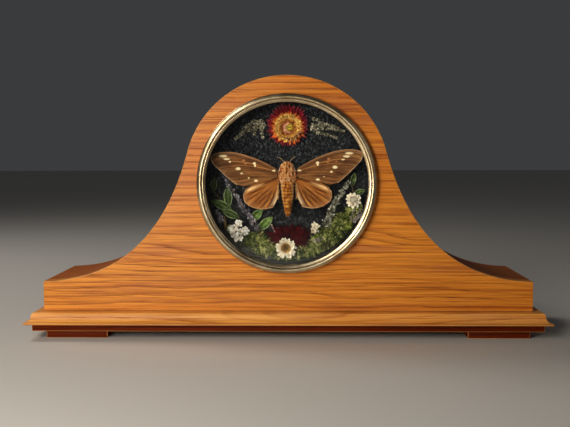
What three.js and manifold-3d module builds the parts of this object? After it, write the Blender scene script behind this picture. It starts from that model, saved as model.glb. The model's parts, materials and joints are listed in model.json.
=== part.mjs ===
// A moth specimen with dried flowers, set behind the round window of an oak tambour case.
// Millimetres, +Z up, front towards -Y. The origin is on the ground, under the middle of the case.

import * as THREE from 'three';
import { mergeVertices } from 'three/addons/utils/BufferGeometryUtils.js';
import Module from 'manifold-3d';

const wasm = await Module();
wasm.setup();

// Driving dimensions

const gap = 0.3; // clearance between pieces that touch

const caseHalfWidth = 225;
const caseFrontY = -49.5;
const humpCentreZ = 146;
const humpRadius = 94;
const humpEndAngle = 0.266; // above level, where the hump's round turns into the flank
const flankHandle = 68; // how far the flank keeps the hump's direction
const shoulderHandle = 78; // how far in the shoulder stays level
const shoulderRise = 1.3; // of the shoulder along that stretch
const shoulderEndZ = 51.8;
const boardThickness = 12;
const skinThickness = 7;
const backBoardThickness = 8;
const screwHeadHeight = 1.5;
const backY = 65;

const windowZ = 141.5; // centre of the round window
const openingRadius = 78; // hole in the front board
const bezelRadius = 81.8;
const crestRadius = 2.6; // of the bezel's rounded outer rib
const innerBeadRadius = 1.35; // of its small inner bead
const innerBeadSetBack = 0.4; // of the bead's middle behind the rib's
const bezelDepth = 8; // how far it stands out of the wood
const skirtRadius = 77.7;
const skirtDepth = 3.5;
const seatRadius = 77;
const seatDepth = -3.5;
const glassRadius = 76.6;
const glassThickness = 2;
const linerRadius = 75.8;
const linerFlangeRadius = 77.6; // behind the bezel's skirt
const recessDepth = 31; // from the board's face to the backdrop
const backdropRadius = 80;
const backdropThickness = 3;
const ringSegments = 40;

const baseTopZ = 24.2;
const lipOverhang = 15.5;
const lipBottomZ = 13.65;
const lipTopZ = 15.1;
const lipStep = 0.3; // from the lip's edge in to the cove
const coveRadius = 5.8;
const mouldBeadRadius = 2.8;
const baseBoardInset = 6.7; // of the lower board behind the lip
const baseBoardBottomZ = 7;
const footWidth = 56.4;
const footLength = 36;
const footOuterX = 221.7;
const footFrontY = -53.5;
const footBackY = 55;

// Depths behind the board's face at which the specimen and the plants lie

const forewingDepth = 18;
const hindwingDepth = 19.2;
const wingThickness = 0.8;
const mothTilt = 0.019; // its left wings hang a little lower
const mothPivotZ = 150;
const bodyDepth = 18.3;
const bodyHalfDepth = 4.8;
const leafDepth = 28.8;
const leafThickness = 0.8;
const sprigDepth = 29.3;
const spikeDepth = 23.3;
const mossFrontDepth = 25.4;
const onMossDepth = 25.1; // back of what lies on the moss

// Colours of the pieces

const colours = {
  oak: [0xc87a36, 0.45, 0],
  oakTop: [0xa35f2b, 0.5, 0],
  brass: [0xc9a565, 0.25, 1],
  glass: [0xe8eef0, 0.05, 0],
  liner: [0x17181a, 0.9, 0],
  slate: [0x24282c, 0.95, 0],
  body: [0xb0642a, 0.9, 0],
  forewing: [0x74503a, 0.85, 0],
  hindwing: [0xa76a38, 0.85, 0],
  steel: [0x9a9a98, 0.3, 1],
  strawflower: [0xa4342a, 0.7, 0],
  seed: [0x8c8468, 0.9, 0],
  leaf: [0x3f5428, 0.7, 0],
  lavender: [0x6f6a78, 0.9, 0],
  crimson: [0x4e1018, 0.8, 0],
  everlasting: [0xe6dfcc, 0.75, 0],
  moss: [0x55612a, 1, 0],
  twig: [0x7a5a42, 0.9, 0],
};

const specimen = new THREE.Group();

function place(name, geometry, colour) {
  const [color, roughness, metalness] = colours[colour];
  const material = new THREE.MeshStandardMaterial({ color, roughness, metalness });
  const mesh = new THREE.Mesh(geometry, material);
  mesh.name = name;
  specimen.add(mesh);
  return mesh;
}

const behind = (depth) => caseFrontY + depth;

// Joining and cutting closed meshes

function toSolid(geometry) {
  const bare = geometry.clone();
  bare.deleteAttribute('normal');
  bare.deleteAttribute('uv');
  const merged = mergeVertices(bare, 1e-4);
  const index = merged.index.array;
  const triangles = [];
  for (let i = 0; i < index.length; i += 3) {
    const [a, b, c] = [index[i], index[i + 1], index[i + 2]];
    if (a !== b && b !== c && c !== a) triangles.push(a, b, c);
  }
  const vertProperties = new Float32Array(merged.attributes.position.array);
  const triVerts = new Uint32Array(triangles);
  return new wasm.Manifold(new wasm.Mesh({ numProp: 3, vertProperties, triVerts }));
}

function toGeometry(solid) {
  const mesh = solid.getMesh();
  const geometry = new THREE.BufferGeometry();
  geometry.setAttribute('position', new THREE.BufferAttribute(mesh.vertProperties, 3));
  geometry.setIndex(new THREE.BufferAttribute(mesh.triVerts, 1));
  return geometry;
}

const joined = (geometries) => toGeometry(geometries.map(toSolid).reduce((a, b) => a.add(b)));

// Shapes drawn in the window's plane, X to the right and Z up

function plate(shape, depth, thickness, curveSegments = 12) {
  const settings = { depth: thickness, bevelEnabled: false, curveSegments };
  const geometry = new THREE.ExtrudeGeometry(shape, settings);
  return geometry.rotateX(Math.PI / 2).translate(0, behind(depth) + thickness, 0);
}

function smoothShape(points, count) {
  const corners = points.map(([x, z]) => new THREE.Vector3(x, z, 0));
  const curve = new THREE.CatmullRomCurve3(corners, true, 'centripetal');
  return new THREE.Shape(curve.getPoints(count).slice(0, -1).map((p) => new THREE.Vector2(p.x, p.y)));
}

// A ring or disc turned about the window's axis, from points of radius and depth
function turned(profile, segments = ringSegments) {
  const points = profile.map(([radius, depth]) => new THREE.Vector2(radius, behind(depth)));
  return new THREE.LatheGeometry(points, segments).translate(0, 0, windowZ);
}

function arc(radius, depth, size, from, to, steps) {
  const points = [];
  for (let i = 0; i <= steps; i++) {
    const angle = from + ((to - from) * i) / steps;
    points.push([radius + size * Math.cos(angle), depth + size * Math.sin(angle)]);
  }
  return points;
}

// Case: the front outline is a round hump, a hollow flank and a nearly level shoulder

function outlineHalf(inset) {
  const points = [];
  const humpSteps = 10;
  for (let i = 0; i < humpSteps; i++) {
    const angle = Math.PI / 2 + ((humpEndAngle - Math.PI / 2) * i) / humpSteps;
    const radius = humpRadius - inset;
    points.push([radius * Math.cos(angle), humpCentreZ + radius * Math.sin(angle)]);
  }
  const startX = humpRadius * Math.cos(humpEndAngle);
  const startZ = humpCentreZ + humpRadius * Math.sin(humpEndAngle);
  const flank = new THREE.CubicBezierCurve(
    new THREE.Vector2(startX, startZ),
    new THREE.Vector2(
      startX + flankHandle * Math.sin(humpEndAngle),
      startZ - flankHandle * Math.cos(humpEndAngle),
    ),
    new THREE.Vector2(caseHalfWidth - shoulderHandle, shoulderEndZ + shoulderRise),
    new THREE.Vector2(caseHalfWidth, shoulderEndZ),
  );
  const flankSteps = 13;
  for (let i = 0; i <= flankSteps; i++) {
    const point = flank.getPoint(i / flankSteps);
    const along = flank.getTangent(i / flankSteps);
    const x = Math.min(point.x + along.y * inset, caseHalfWidth - inset);
    points.push([x, point.y - along.x * inset]);
  }
  return points;
}

function outline(inset, bottomZ) {
  const right = [...outlineHalf(inset), [caseHalfWidth - inset, bottomZ]];
  const left = right.slice(1).map(([x, z]) => [-x, z]);
  return [...left.reverse(), ...right].map(([x, z]) => new THREE.Vector2(x, z));
}

const caseBottomZ = baseTopZ + gap;
const skinDepth = boardThickness + gap;
const backBoardDepth = backY - screwHeadHeight - gap - backBoardThickness - caseFrontY;

function buildCase() {
  const board = toSolid(plate(new THREE.Shape(outline(0, caseBottomZ)), 0, boardThickness));
  const through = boardThickness + 1;
  const opening = turned([[0, -1], [openingRadius, -1], [openingRadius, through], [0, through]]);
  place('front_board', toGeometry(board.subtract(toSolid(opening))), 'oak');

  const inner = outline(skinThickness, caseBottomZ).reverse();
  const skin = new THREE.Shape([...outline(0, caseBottomZ), ...inner]);
  place('bent_top', plate(skin, skinDepth, backBoardDepth - gap - skinDepth), 'oakTop');

  const back = new THREE.Shape(outline(0, caseBottomZ));
  place('back_board', plate(back, backBoardDepth, backBoardThickness), 'oakTop');
}

// Screws through the back board into the edge of the bent top

function buildScrews() {
  const headRadius = 2.8;
  const line = outlineHalf(skinThickness / 2);
  const spots = [0, 9, 17, 22].map((step) => line[step]);
  const headDepth = backBoardDepth + backBoardThickness + gap;
  const rim = [headRadius * 0.8, screwHeadHeight * 0.7];
  const profile = [[0, 0], [headRadius, 0], rim, [0, screwHeadHeight]];
  let number = 1;
  for (const side of [-1, 1]) {
    for (const [x, z] of spots) {
      if (x < 1 && side < 0) continue;
      const points = profile.map(([radius, height]) => new THREE.Vector2(radius, height));
      const head = new THREE.LatheGeometry(points, 10).translate(side * x, behind(headDepth), z);
      place(`back_screw_${number}`, head, 'brass');
      number += 1;
    }
  }
}

// Base: a board with a bead and a cove on its front and side edges, a lower board and four feet

function mouldedBoard(profile) {
  const positions = [];
  for (const [offset, z] of profile) {
    const x = caseHalfWidth + offset;
    const front = caseFrontY - offset;
    positions.push(-x, front, z, x, front, z, x, backY, z, -x, backY, z);
  }
  const index = [0, 2, 1, 0, 3, 2];
  for (let level = 0; level < profile.length - 1; level++) {
    for (let side = 0; side < 4; side++) {
      const a = level * 4 + side;
      const b = level * 4 + ((side + 1) % 4);
      index.push(a, b, b + 4, a, b + 4, a + 4);
    }
  }
  const top = (profile.length - 1) * 4;
  index.push(top, top + 1, top + 2, top, top + 2, top + 3);
  const geometry = new THREE.BufferGeometry();
  geometry.setAttribute('position', new THREE.Float32BufferAttribute(positions, 3));
  geometry.setIndex(index);
  return geometry;
}

function box(x0, x1, y0, y1, z0, z1) {
  const geometry = new THREE.BoxGeometry(x1 - x0, y1 - y0, z1 - z0);
  return geometry.translate((x0 + x1) / 2, (y0 + y1) / 2, (z0 + z1) / 2);
}

function buildBase() {
  const coveOffset = lipOverhang - lipStep;
  const coveZ = lipTopZ + coveRadius;
  const cove = arc(coveOffset, coveZ, coveRadius, -Math.PI / 2, -Math.PI, 5);
  const beadOffset = coveOffset - coveRadius - mouldBeadRadius;
  const rounded = arc(beadOffset, baseTopZ - mouldBeadRadius, mouldBeadRadius, 0, Math.PI / 2, 4);
  const lip = [[lipOverhang, lipBottomZ], [lipOverhang, lipTopZ]];
  place('base_moulding', mouldedBoard([...lip, ...cove.slice(1), ...rounded]), 'oak');

  const lowerX = caseHalfWidth + lipOverhang - baseBoardInset;
  const lowerFront = caseFrontY - lipOverhang + baseBoardInset;
  const lowerBack = backY - baseBoardInset;
  const lower = box(-lowerX, lowerX, lowerFront, lowerBack, baseBoardBottomZ, lipBottomZ - gap);
  place('base_board', lower, 'oakTop');

  for (const side of ['left', 'right']) {
    const outer = side === 'left' ? -footOuterX : footOuterX - footWidth;
    for (const end of ['front', 'back']) {
      const y = end === 'front' ? footFrontY : footBackY - footLength;
      const foot = box(outer, outer + footWidth, y, y + footLength, 0, baseBoardBottomZ - gap);
      place(`foot_${end}_${side}`, foot, 'oakTop');
    }
  }
}

// Window: a brass ring with a rounded rib and a small bead, flat glass, a dark liner and the backdrop

function buildWindow() {
  const ribRadius = bezelRadius - crestRadius;
  const ribDepth = crestRadius - bezelDepth;
  const rib = arc(ribRadius, ribDepth, crestRadius, -Math.PI, 0, 5);
  const innerRadius = ribRadius - crestRadius - innerBeadRadius;
  const innerDepth = ribDepth + innerBeadSetBack;
  const innerBead = arc(innerRadius, innerDepth, innerBeadRadius, -Math.PI, 0, 3);
  const back = [
    [bezelRadius, -gap],
    [skirtRadius, -gap],
    [skirtRadius, skirtDepth],
    [seatRadius, skirtDepth],
    [seatRadius, seatDepth],
    [innerRadius - innerBeadRadius, seatDepth],
    [innerRadius - innerBeadRadius, innerDepth],
  ];
  place('bezel', turned([...innerBead, ...rib, ...back]), 'brass');

  const glassFront = seatDepth + gap;
  const glassBack = glassFront + glassThickness;
  const glass = [[0, glassFront], [glassRadius, glassFront], [glassRadius, glassBack], [0, glassBack]];
  place('glass', turned(glass), 'glass');

  const linerFront = glassBack + gap;
  const liner = [
    [linerRadius, linerFront],
    [glassRadius, linerFront],
    [glassRadius, skirtDepth + gap],
    [linerFlangeRadius, skirtDepth + gap],
    [linerFlangeRadius, recessDepth],
    [linerRadius, recessDepth],
    [linerRadius, linerFront],
  ];
  place('liner', turned(liner), 'liner');

  const front = recessDepth + gap;
  const end = front + backdropThickness;
  const backdrop = [[0, front], [backdropRadius, front], [backdropRadius, end], [0, end]];
  place('backdrop', turned(backdrop), 'slate');
}

// Moth

// A rounded body through level sections of height, half width, half depth
function loft(sections, sides, depth) {
  const positions = [];
  const rings = sections.slice(1, -1);
  const [top, bottom] = [sections[0], sections[sections.length - 1]];
  positions.push(0, behind(depth), top[0]);
  for (const [z, halfWidth, halfDepth] of rings) {
    for (let i = 0; i < sides; i++) {
      const angle = (2 * Math.PI * i) / sides;
      positions.push(halfWidth * Math.cos(angle), behind(depth) + halfDepth * Math.sin(angle), z);
    }
  }
  positions.push(0, behind(depth), bottom[0]);
  const last = positions.length / 3 - 1;
  const index = [];
  for (let i = 0; i < sides; i++) {
    const next = (i + 1) % sides;
    index.push(0, 1 + i, 1 + next);
    for (let ring = 0; ring < rings.length - 1; ring++) {
      const [a, b] = [1 + ring * sides + i, 1 + ring * sides + next];
      index.push(a, a + sides, b + sides, a, b + sides, b);
    }
    const base = 1 + (rings.length - 1) * sides;
    index.push(last, base + next, base + i);
  }
  const geometry = new THREE.BufferGeometry();
  geometry.setAttribute('position', new THREE.Float32BufferAttribute(positions, 3));
  geometry.setIndex(index);
  return geometry;
}

// A round rod along a smooth line through points of x, depth and z
function rod(points, radius, steps, sides = 6) {
  const corners = points.map(([x, depth, z]) => new THREE.Vector3(x, behind(depth), z));
  const path = new THREE.CatmullRomCurve3(corners);
  const section = new THREE.Shape();
  for (let i = 0; i < sides; i++) {
    const angle = (2 * Math.PI * i) / sides;
    const [x, y] = [radius * Math.cos(angle), radius * Math.sin(angle)];
    if (i === 0) section.moveTo(x, y);
    else section.lineTo(x, y);
  }
  return new THREE.ExtrudeGeometry(section, { steps, bevelEnabled: false, extrudePath: path });
}

// The moth, drawn upright on the window's middle line: outlines of its right wings in x and z,
// and level sections of its body in z, half width and half depth

const forewing = [
  [9, 154.4], [19, 160.2], [31, 165.7], [44, 170], [55, 171.6], [66, 170.6], [70.2, 167.2], [67.4, 160.4],
  [60.4, 153.4], [53, 146.4], [46, 141], [39.5, 139.5], [31, 141.6], [19, 144.4], [9, 147.2],
];
const hindwing = [
  [8.8, 145.8], [20, 143.8], [31, 141], [38.4, 137.2], [41.4, 130.6], [39.4, 123.8], [32.4, 119],
  [23, 117.2], [13.6, 119], [9.6, 129.6], [8.4, 139.6],
];
const bodySections = [
  [162.2], [161.2, 2.6, 2.2], [158.8, 4.8, 3.4], [156, 6.2, 4.1], [152.5, 7.7, 4.7],
  [148, 7.8, bodyHalfDepth], [144, 7.1, 4.7], [141.8, 6.1, 4.3], [138, 6.5, 4.4], [130, 5.4, 4.2],
  [123, 4.1, 3.5], [117, 3.1, 2.8], [112.6, 1.9, 1.8], [111],
];

function tilted(geometry) {
  return geometry.translate(0, 0, -mothPivotZ).rotateY(-mothTilt).translate(0, 0, mothPivotZ);
}

function buildMoth() {
  const parts = [loft(bodySections, 14, bodyDepth)];
  for (const side of [-1, 1]) {
    const feeler = [
      [side * 2.4, bodyDepth - 1, 159.8],
      [side * 4.6, bodyDepth - 1.4, 163.4],
      [side * 8.4, bodyDepth - 1, 165.4],
    ];
    const feelerRadius = 0.45;
    parts.push(rod(feeler, feelerRadius, 3, 5));
  }
  place('moth_body', tilted(joined(parts)), 'body');

  for (const [side, mirror] of [['left', -1], ['right', 1]]) {
    const fore = smoothShape(forewing.map(([x, z]) => [mirror * x, z]), 30);
    place(`forewing_${side}`, tilted(plate(fore, forewingDepth, wingThickness)), 'forewing');
    const hind = smoothShape(hindwing.map(([x, z]) => [mirror * x, z]), 22);
    place(`hindwing_${side}`, tilted(plate(hind, hindwingDepth, wingThickness)), 'hindwing');
  }

  const pinZ = 149;
  const pinRadius = 0.45;
  const pinStart = bodyDepth + bodyHalfDepth + gap;
  place('moth_pin', rod([[0, pinStart, pinZ], [0, recessDepth, pinZ]], pinRadius, 1, 8), 'steel');
}

// Dried plants

// A flower of flat toothed layers, each with its petals, tip and notch radius, and its depths
function rosette(x, z, layers, { pointed = true, flatten = 1 } = {}) {
  return layers.map(({ petals, tip, notch, back, front, turn = 0 }) => {
    const petal = pointed ? [[0, notch], [0.5, tip]] : [[0, notch], [0.3, tip], [0.7, tip]];
    const shape = new THREE.Shape();
    for (let i = 0; i < petals; i++) {
      for (const [share, radius] of petal) {
        const angle = turn + (2 * Math.PI * (i + share)) / petals;
        const [px, pz] = [x + radius * Math.cos(angle), z + flatten * radius * Math.sin(angle)];
        if (i === 0 && share === 0) shape.moveTo(px, pz);
        else shape.lineTo(px, pz);
      }
    }
    return plate(shape, front, back - front);
  });
}

function bead(x, depth, z, rx, ry, rz, tilt = 0) {
  const geometry = new THREE.OctahedronGeometry(1, 0).scale(rx, ry, rz).rotateY(tilt);
  return geometry.translate(x, behind(depth), z);
}

// A stem with small buds along it, on its left and right in turn
function budded(line, depth, { radius, budLength, budRadius, count, from = 0, steps = 4 }) {
  const points = line.map(([x, z]) => [x, depth, z]);
  const path = new THREE.CatmullRomCurve3(points.map(([x, depth, z]) => new THREE.Vector3(x, depth, z)));
  const parts = [rod(points, radius, steps, 5)];
  for (let i = 0; i < count; i++) {
    const share = from + ((1 - from) * (i + 0.5)) / count;
    const point = path.getPoint(share);
    const along = path.getTangent(share);
    const side = i % 2 === 0 ? -1 : 1;
    const x = point.x - side * along.z * budRadius;
    const z = point.z + side * along.x * budRadius;
    const tilt = Math.atan2(along.x - side * along.z * 0.6, along.z + side * along.x * 0.6);
    parts.push(bead(x, point.y, z, budRadius, budRadius, budLength, tilt));
  }
  return parts;
}

function leaf(base, tip, width, depth = leafDepth) {
  const [bx, bz] = base;
  const [tx, tz] = tip;
  const [ax, az] = [(tz - bz) / 2, (bx - tx) / 2];
  const size = Math.hypot(ax, az);
  const [nx, nz] = [(ax / size) * width * 0.75, (az / size) * width * 0.75];
  const [mx, mz] = [(bx + tx) / 2, (bz + tz) / 2];
  const shape = new THREE.Shape();
  shape.moveTo(bx, bz);
  const [px, pz] = [(bx + mx) / 2, (bz + mz) / 2];
  const [qx, qz] = [(tx + mx) / 2, (tz + mz) / 2];
  shape.bezierCurveTo(px + nx, pz + nz, qx + nx, qz + nz, tx, tz);
  shape.bezierCurveTo(qx - nx, qz - nz, px - nx, pz - nz, bx, bz);
  return plate(shape, depth, leafThickness, 5);
}

function buildStrawflower() {
  const [x, z] = [0.3, 195.5];
  const [heartX, heartZ] = [0.9, 193.1]; // its heart looks a little down
  const bracts = [
    { petals: 22, tip: 20, notch: 15, back: recessDepth, front: 27.8 },
    { petals: 20, tip: 17, notch: 12.5, back: 28, front: 25, turn: 0.1 },
  ];
  const inner = [{ petals: 18, tip: 13, notch: 10, back: 25.2, front: 22.6 }];
  const cup = new THREE.CylinderGeometry(8.5, 6.5, 2, 12).translate(heartX, behind(21.8), heartZ);
  const heart = [...rosette(heartX, heartZ, inner), cup];
  place('strawflower', joined([...rosette(x, z, bracts), ...heart]), 'strawflower');
}

function buildSprigs() {
  const buds = { radius: 0.6, budLength: 2.8, budRadius: 1.2 };
  const depth = sprigDepth;
  const left = [
    ...budded([[-20.4, 198.4], [-31, 194.6], [-40, 189.6], [-49.5, 182]], depth, { ...buds, count: 7 }),
    ...budded([[-21.6, 198], [-24.4, 190], [-22.4, 182.6]], depth, { ...buds, count: 3, from: 0.35 }),
  ];
  place('seed_sprig_left', joined(left), 'seed');
  const middle = [[21.4, 194.6], [33, 193.6], [45, 192.4], [53.4, 189.4]];
  const upper = [[21.6, 195], [25, 200.6], [34, 198.4]];
  const lower = [[21.6, 194.2], [29, 188.4], [38, 186.4], [46.8, 183]];
  const right = [
    ...budded(middle, depth, { ...buds, count: 7, steps: 6 }),
    ...budded(upper, depth, { ...buds, count: 2, from: 0.4 }),
    ...budded(lower, depth, { ...buds, count: 4, from: 0.35, steps: 5 }),
  ];
  place('seed_sprig_right', joined(right), 'seed');
}

function buildLeaves() {
  const depth = leafDepth + 0.6;
  const upper = [
    rod([[-45, depth, 107.5], [-54, depth, 117], [-63, depth, 125], [-70, depth, 134.6]], 0.8, 5, 5),
    leaf([-69.6, 133.4], [-68.6, 147.4], 6),
    leaf([-55.6, 118.6], [-56.4, 138.6], 8.4),
    leaf([-53, 116.4], [-72.6, 125], 8.4),
    leaf([-46, 108.8], [-62, 115.6], 7.6),
  ];
  place('leaf_sprig_left', joined(upper), 'leaf');
  const lower = [
    rod([[-35, depth, 107], [-31.4, depth, 101], [-26.4, depth, 96]], 0.7, 3, 5),
    leaf([-34.6, 105.6], [-23.6, 116.4], 8.6),
    leaf([-27.6, 96.8], [-13.8, 109.4], 9.4),
  ];
  place('leaf_pair_low', joined(lower), 'leaf');
  const right = [
    rod([[60.4, depth, 140], [62, depth, 131], [58.6, depth, 122]], 0.7, 3, 5),
    leaf([60.6, 137.6], [63.7, 151.6], 5.4),
    leaf([61.8, 129.6], [73.2, 135], 6.4),
  ];
  place('leaf_sprig_right', joined(right), 'leaf');
}

function buildLavender() {
  const buds = { radius: 0.7, budLength: 3.2, budRadius: 1.5 };
  const depth = spikeDepth;
  const long = [[-25, 90], [-28.4, 100], [-38, 113.4], [-46.6, 127.4], [-57.6, 144.3], [-60.6, 153.2]];
  const leftSpike = budded(long, depth, { ...buds, count: 14, from: 0.1, steps: 7 });
  place('lavender_left', joined(leftSpike), 'lavender');
  const low = [[-58.8, 99.8], [-62.4, 107], [-66.4, 115.2]];
  place('lavender_low', joined(budded(low, depth, { ...buds, count: 6, from: 0.1 })), 'lavender');
  const right = [[35, 98.6], [39.4, 111], [47.4, 127.4], [58, 142.6]];
  place('lavender_right', joined(budded(right, depth, { ...buds, count: 9, from: 0.05 })), 'lavender');
  const bits = [[25, 84.6], [28.4, 87.6], [33, 89.6]];
  place('lavender_bits', joined(budded(bits, depth, { ...buds, count: 4, steps: 2 })), 'lavender');
}

function everlasting(x, z, size, back) {
  const layers = [
    { petals: 8, tip: size, notch: size * 0.66, back, front: back - 2.2 },
    { petals: 6, tip: size * 0.76, notch: size * 0.5, back: back - 2, front: back - 4.2, turn: 0.3 },
  ];
  const core = new THREE.CylinderGeometry(size * 0.42, size * 0.28, 1.6, 7);
  return [...rosette(x, z, layers, { pointed: false }), core.translate(x, behind(back - 4.8), z)];
}

function buildFlowers() {
  const crimson = [
    { petals: 15, tip: 20.8, notch: 14.5, back: onMossDepth, front: onMossDepth - 2.2 },
    { petals: 13, tip: 15, notch: 10, back: onMossDepth - 2, front: onMossDepth - 4.2, turn: 0.2 },
  ];
  place('crimson_flower', joined(rosette(2.1, 90.5, crimson, { flatten: 0.6 })), 'crimson');
  place('everlasting_middle', joined(everlasting(-1.2, 80.6, 9.8, onMossDepth - 4.6)), 'everlasting');
  place('everlasting_small', joined(everlasting(25.4, 98.4, 6, onMossDepth)), 'everlasting');
  place('everlasting_right', joined(everlasting(62.2, 124, 7, onMossDepth)), 'everlasting');
  const cluster = [[-46, 102, 5.2], [-41, 95.4, 5.2], [-48.6, 94.6, 6.8]];
  const heads = cluster.flatMap(([x, z, size]) => everlasting(x, z, size, onMossDepth));
  place('everlasting_cluster', joined(heads), 'everlasting');
}

// The moss fills the bottom of the window up to a wavy line, in low cushions

function buildMoss() {
  const rim = linerRadius - 0.6;
  const [rightAngle, leftAngle] = [-0.31, -2.53];
  const onRim = (radius, angle) => [radius * Math.cos(angle), windowZ + radius * Math.sin(angle)];
  const rimSteps = 24;
  const points = [];
  for (let i = 0; i <= rimSteps; i++) {
    points.push(onRim(rim, leftAngle + ((rightAngle - leftAngle) * i) / rimSteps));
  }
  const edge = [
    onRim(rim, rightAngle), [65, 117.4], [54, 110.4], [40, 101], [29, 90.6], [17, 80.6], [-2, 80.4],
    [-20, 84.6], [-31, 91.4], [-40, 88.6], [-52, 91], onRim(rim, leftAngle),
  ];
  const corners = edge.map(([x, z]) => new THREE.Vector3(x, z, 0));
  const line = new THREE.CatmullRomCurve3(corners, false, 'centripetal');
  const edgePoints = line.getPoints(30).slice(1, -1).map((p) => [p.x, p.y]);
  const shape = new THREE.Shape([...points, ...edgePoints].map(([x, z]) => new THREE.Vector2(x, z)));

  const bed = toSolid(plate(shape, mossFrontDepth, recessDepth - mossFrontDepth));
  const leastMoss = 2.4;
  let moss = toSolid(plate(shape, recessDepth - leastMoss, leastMoss));
  for (const [radius, count] of [[67, 14], [55, 9], [44, 5]]) {
    for (let i = 0; i < count; i++) {
      const angle = leftAngle + ((rightAngle - leftAngle) * (i + 0.5)) / count;
      const swell = 1 + 0.25 * Math.sin(i * 2.4 + radius);
      const [x, z] = onRim(radius, angle);
      const cushion = new THREE.IcosahedronGeometry(1, 0).rotateY(i);
      cushion.scale(10 * swell, 5.4 * swell, 9 * swell).translate(x, behind(recessDepth - 0.6), z);
      moss = moss.add(toSolid(cushion));
    }
  }
  place('moss_bed', toGeometry(moss.intersect(bed)), 'moss');
}

function buildTwigs() {
  const brownDepth = spikeDepth - 3;
  const paleDepth = leafDepth - 1.2;
  place('twig_brown', rod([[-58.6, brownDepth, 109.6], [-57.6, brownDepth, 98]], 0.9, 1, 6), 'twig');
  place('twig_pale', rod([[-14.8, paleDepth, 101.6], [-9.2, paleDepth, 91]], 0.8, 1, 6), 'twig');
  const seeds = { radius: 0.5, budLength: 1.7, budRadius: 1.2, count: 6 };
  const seedLine = [[60, 103], [65, 109], [68.6, 116]];
  place('seed_twig_right', joined(budded(seedLine, spikeDepth, seeds)), 'seed');
}

buildCase();
buildScrews();
buildBase();
buildWindow();
buildMoth();
buildStrawflower();
buildSprigs();
buildLeaves();
buildLavender();
buildFlowers();
buildMoss();
buildTwigs();

export default specimen;
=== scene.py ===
# %% [markdown]
# # A moth among dried flowers, in an oak tambour case
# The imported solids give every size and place. Most of them are modelled again here in their own
# place, finer than a plain solid can be: petal by petal, leaf by leaf and hair by hair. The base,
# the moss bed and the pin keep the shape of their solids.
# Sizes and places are written in millimetres and turned to metres where a mesh is made.

import json
import math
import random

import bmesh
import bpy
import numpy as np
from mathutils import Matrix, Vector, noise

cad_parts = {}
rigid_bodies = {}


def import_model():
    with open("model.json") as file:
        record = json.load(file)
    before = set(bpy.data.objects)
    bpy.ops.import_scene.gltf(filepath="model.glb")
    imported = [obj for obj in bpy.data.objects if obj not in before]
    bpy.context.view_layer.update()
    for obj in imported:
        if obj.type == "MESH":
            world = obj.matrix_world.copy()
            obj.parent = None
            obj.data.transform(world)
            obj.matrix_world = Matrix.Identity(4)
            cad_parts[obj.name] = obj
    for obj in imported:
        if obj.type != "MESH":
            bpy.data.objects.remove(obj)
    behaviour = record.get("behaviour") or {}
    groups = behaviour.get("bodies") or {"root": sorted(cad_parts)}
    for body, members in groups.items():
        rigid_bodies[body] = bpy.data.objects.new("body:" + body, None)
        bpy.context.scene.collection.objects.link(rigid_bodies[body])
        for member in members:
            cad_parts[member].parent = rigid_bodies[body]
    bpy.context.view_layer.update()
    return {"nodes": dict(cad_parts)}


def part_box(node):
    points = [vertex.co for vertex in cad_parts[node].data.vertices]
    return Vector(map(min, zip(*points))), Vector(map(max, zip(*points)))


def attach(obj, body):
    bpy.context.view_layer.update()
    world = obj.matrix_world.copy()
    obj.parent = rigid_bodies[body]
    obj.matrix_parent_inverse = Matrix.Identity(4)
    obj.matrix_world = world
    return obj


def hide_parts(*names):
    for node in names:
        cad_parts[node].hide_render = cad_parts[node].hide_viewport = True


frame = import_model()
MM = 0.001
FACE_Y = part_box("front_board")[0].y  # the case's front face
WINDOW_Z = 141.5
print("nodes:", len(frame["nodes"]))

# %% [markdown]
# ## The view
# The photograph was taken from a little right of the middle, slightly above the window, with the
# camera turned down by four degrees. A camera is a matrix: its right, its up and its back are the
# three columns, so the solved angles are turned into those three directions.

# %% Camera
CAMERA_YAW, CAMERA_PITCH, CAMERA_ROLL = 0.0221, 0.0702, -0.0021
CAMERA_PLACE = Vector((16.28, -859.9, 171.37)) * MM
SENSOR = 36
FOCAL_SHARE = 890.3 / 570  # of the focal length to the frame's width

level_right = Vector((math.cos(CAMERA_YAW), math.sin(CAMERA_YAW), 0))
level_ahead = Vector((-math.sin(CAMERA_YAW), math.cos(CAMERA_YAW), 0))
zenith = Vector((0, 0, 1))
ahead = level_ahead * math.cos(CAMERA_PITCH) - zenith * math.sin(CAMERA_PITCH)
upright = zenith * math.cos(CAMERA_PITCH) + level_ahead * math.sin(CAMERA_PITCH)
right = level_right * math.cos(CAMERA_ROLL) + upright * math.sin(CAMERA_ROLL)
above = upright * math.cos(CAMERA_ROLL) - level_right * math.sin(CAMERA_ROLL)

camera_data = bpy.data.cameras.new("camera")
camera_data.sensor_fit = "HORIZONTAL"
camera_data.sensor_width = SENSOR
camera_data.lens = SENSOR * FOCAL_SHARE
camera_data.clip_start = 0.02
camera = bpy.data.objects.new("camera", camera_data)
bpy.context.scene.collection.objects.link(camera)
camera.matrix_world = Matrix.Translation(CAMERA_PLACE) @ Matrix((right, above, -ahead)).transposed().to_4x4()
bpy.context.scene.camera = camera
bpy.context.scene.view_settings.view_transform = "Standard"
print("lens", round(camera_data.lens, 1))

# %% [markdown]
# ## Floor and light
# A pale floor and a soft studio light. The main light is a large warm panel at the upper left in
# front, and a smaller one lower down shines into the window; both stand near, so that the right
# side of the case is darker. One from behind on the left lights the shoulders, a weak one on the
# right opens the shadows, and the surround is dim.

# %% Floor and lamps
def deselect():
    bpy.ops.object.select_all(action="DESELECT")


def colour(code):
    """A colour written as a painter's RRGGBB code, as the shader's linear values."""
    parts = [int(code[i : i + 2], 16) / 255 for i in (0, 2, 4)]
    return [p / 12.92 if p <= 0.04045 else ((p + 0.055) / 1.055) ** 2.4 for p in parts] + [1]


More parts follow.
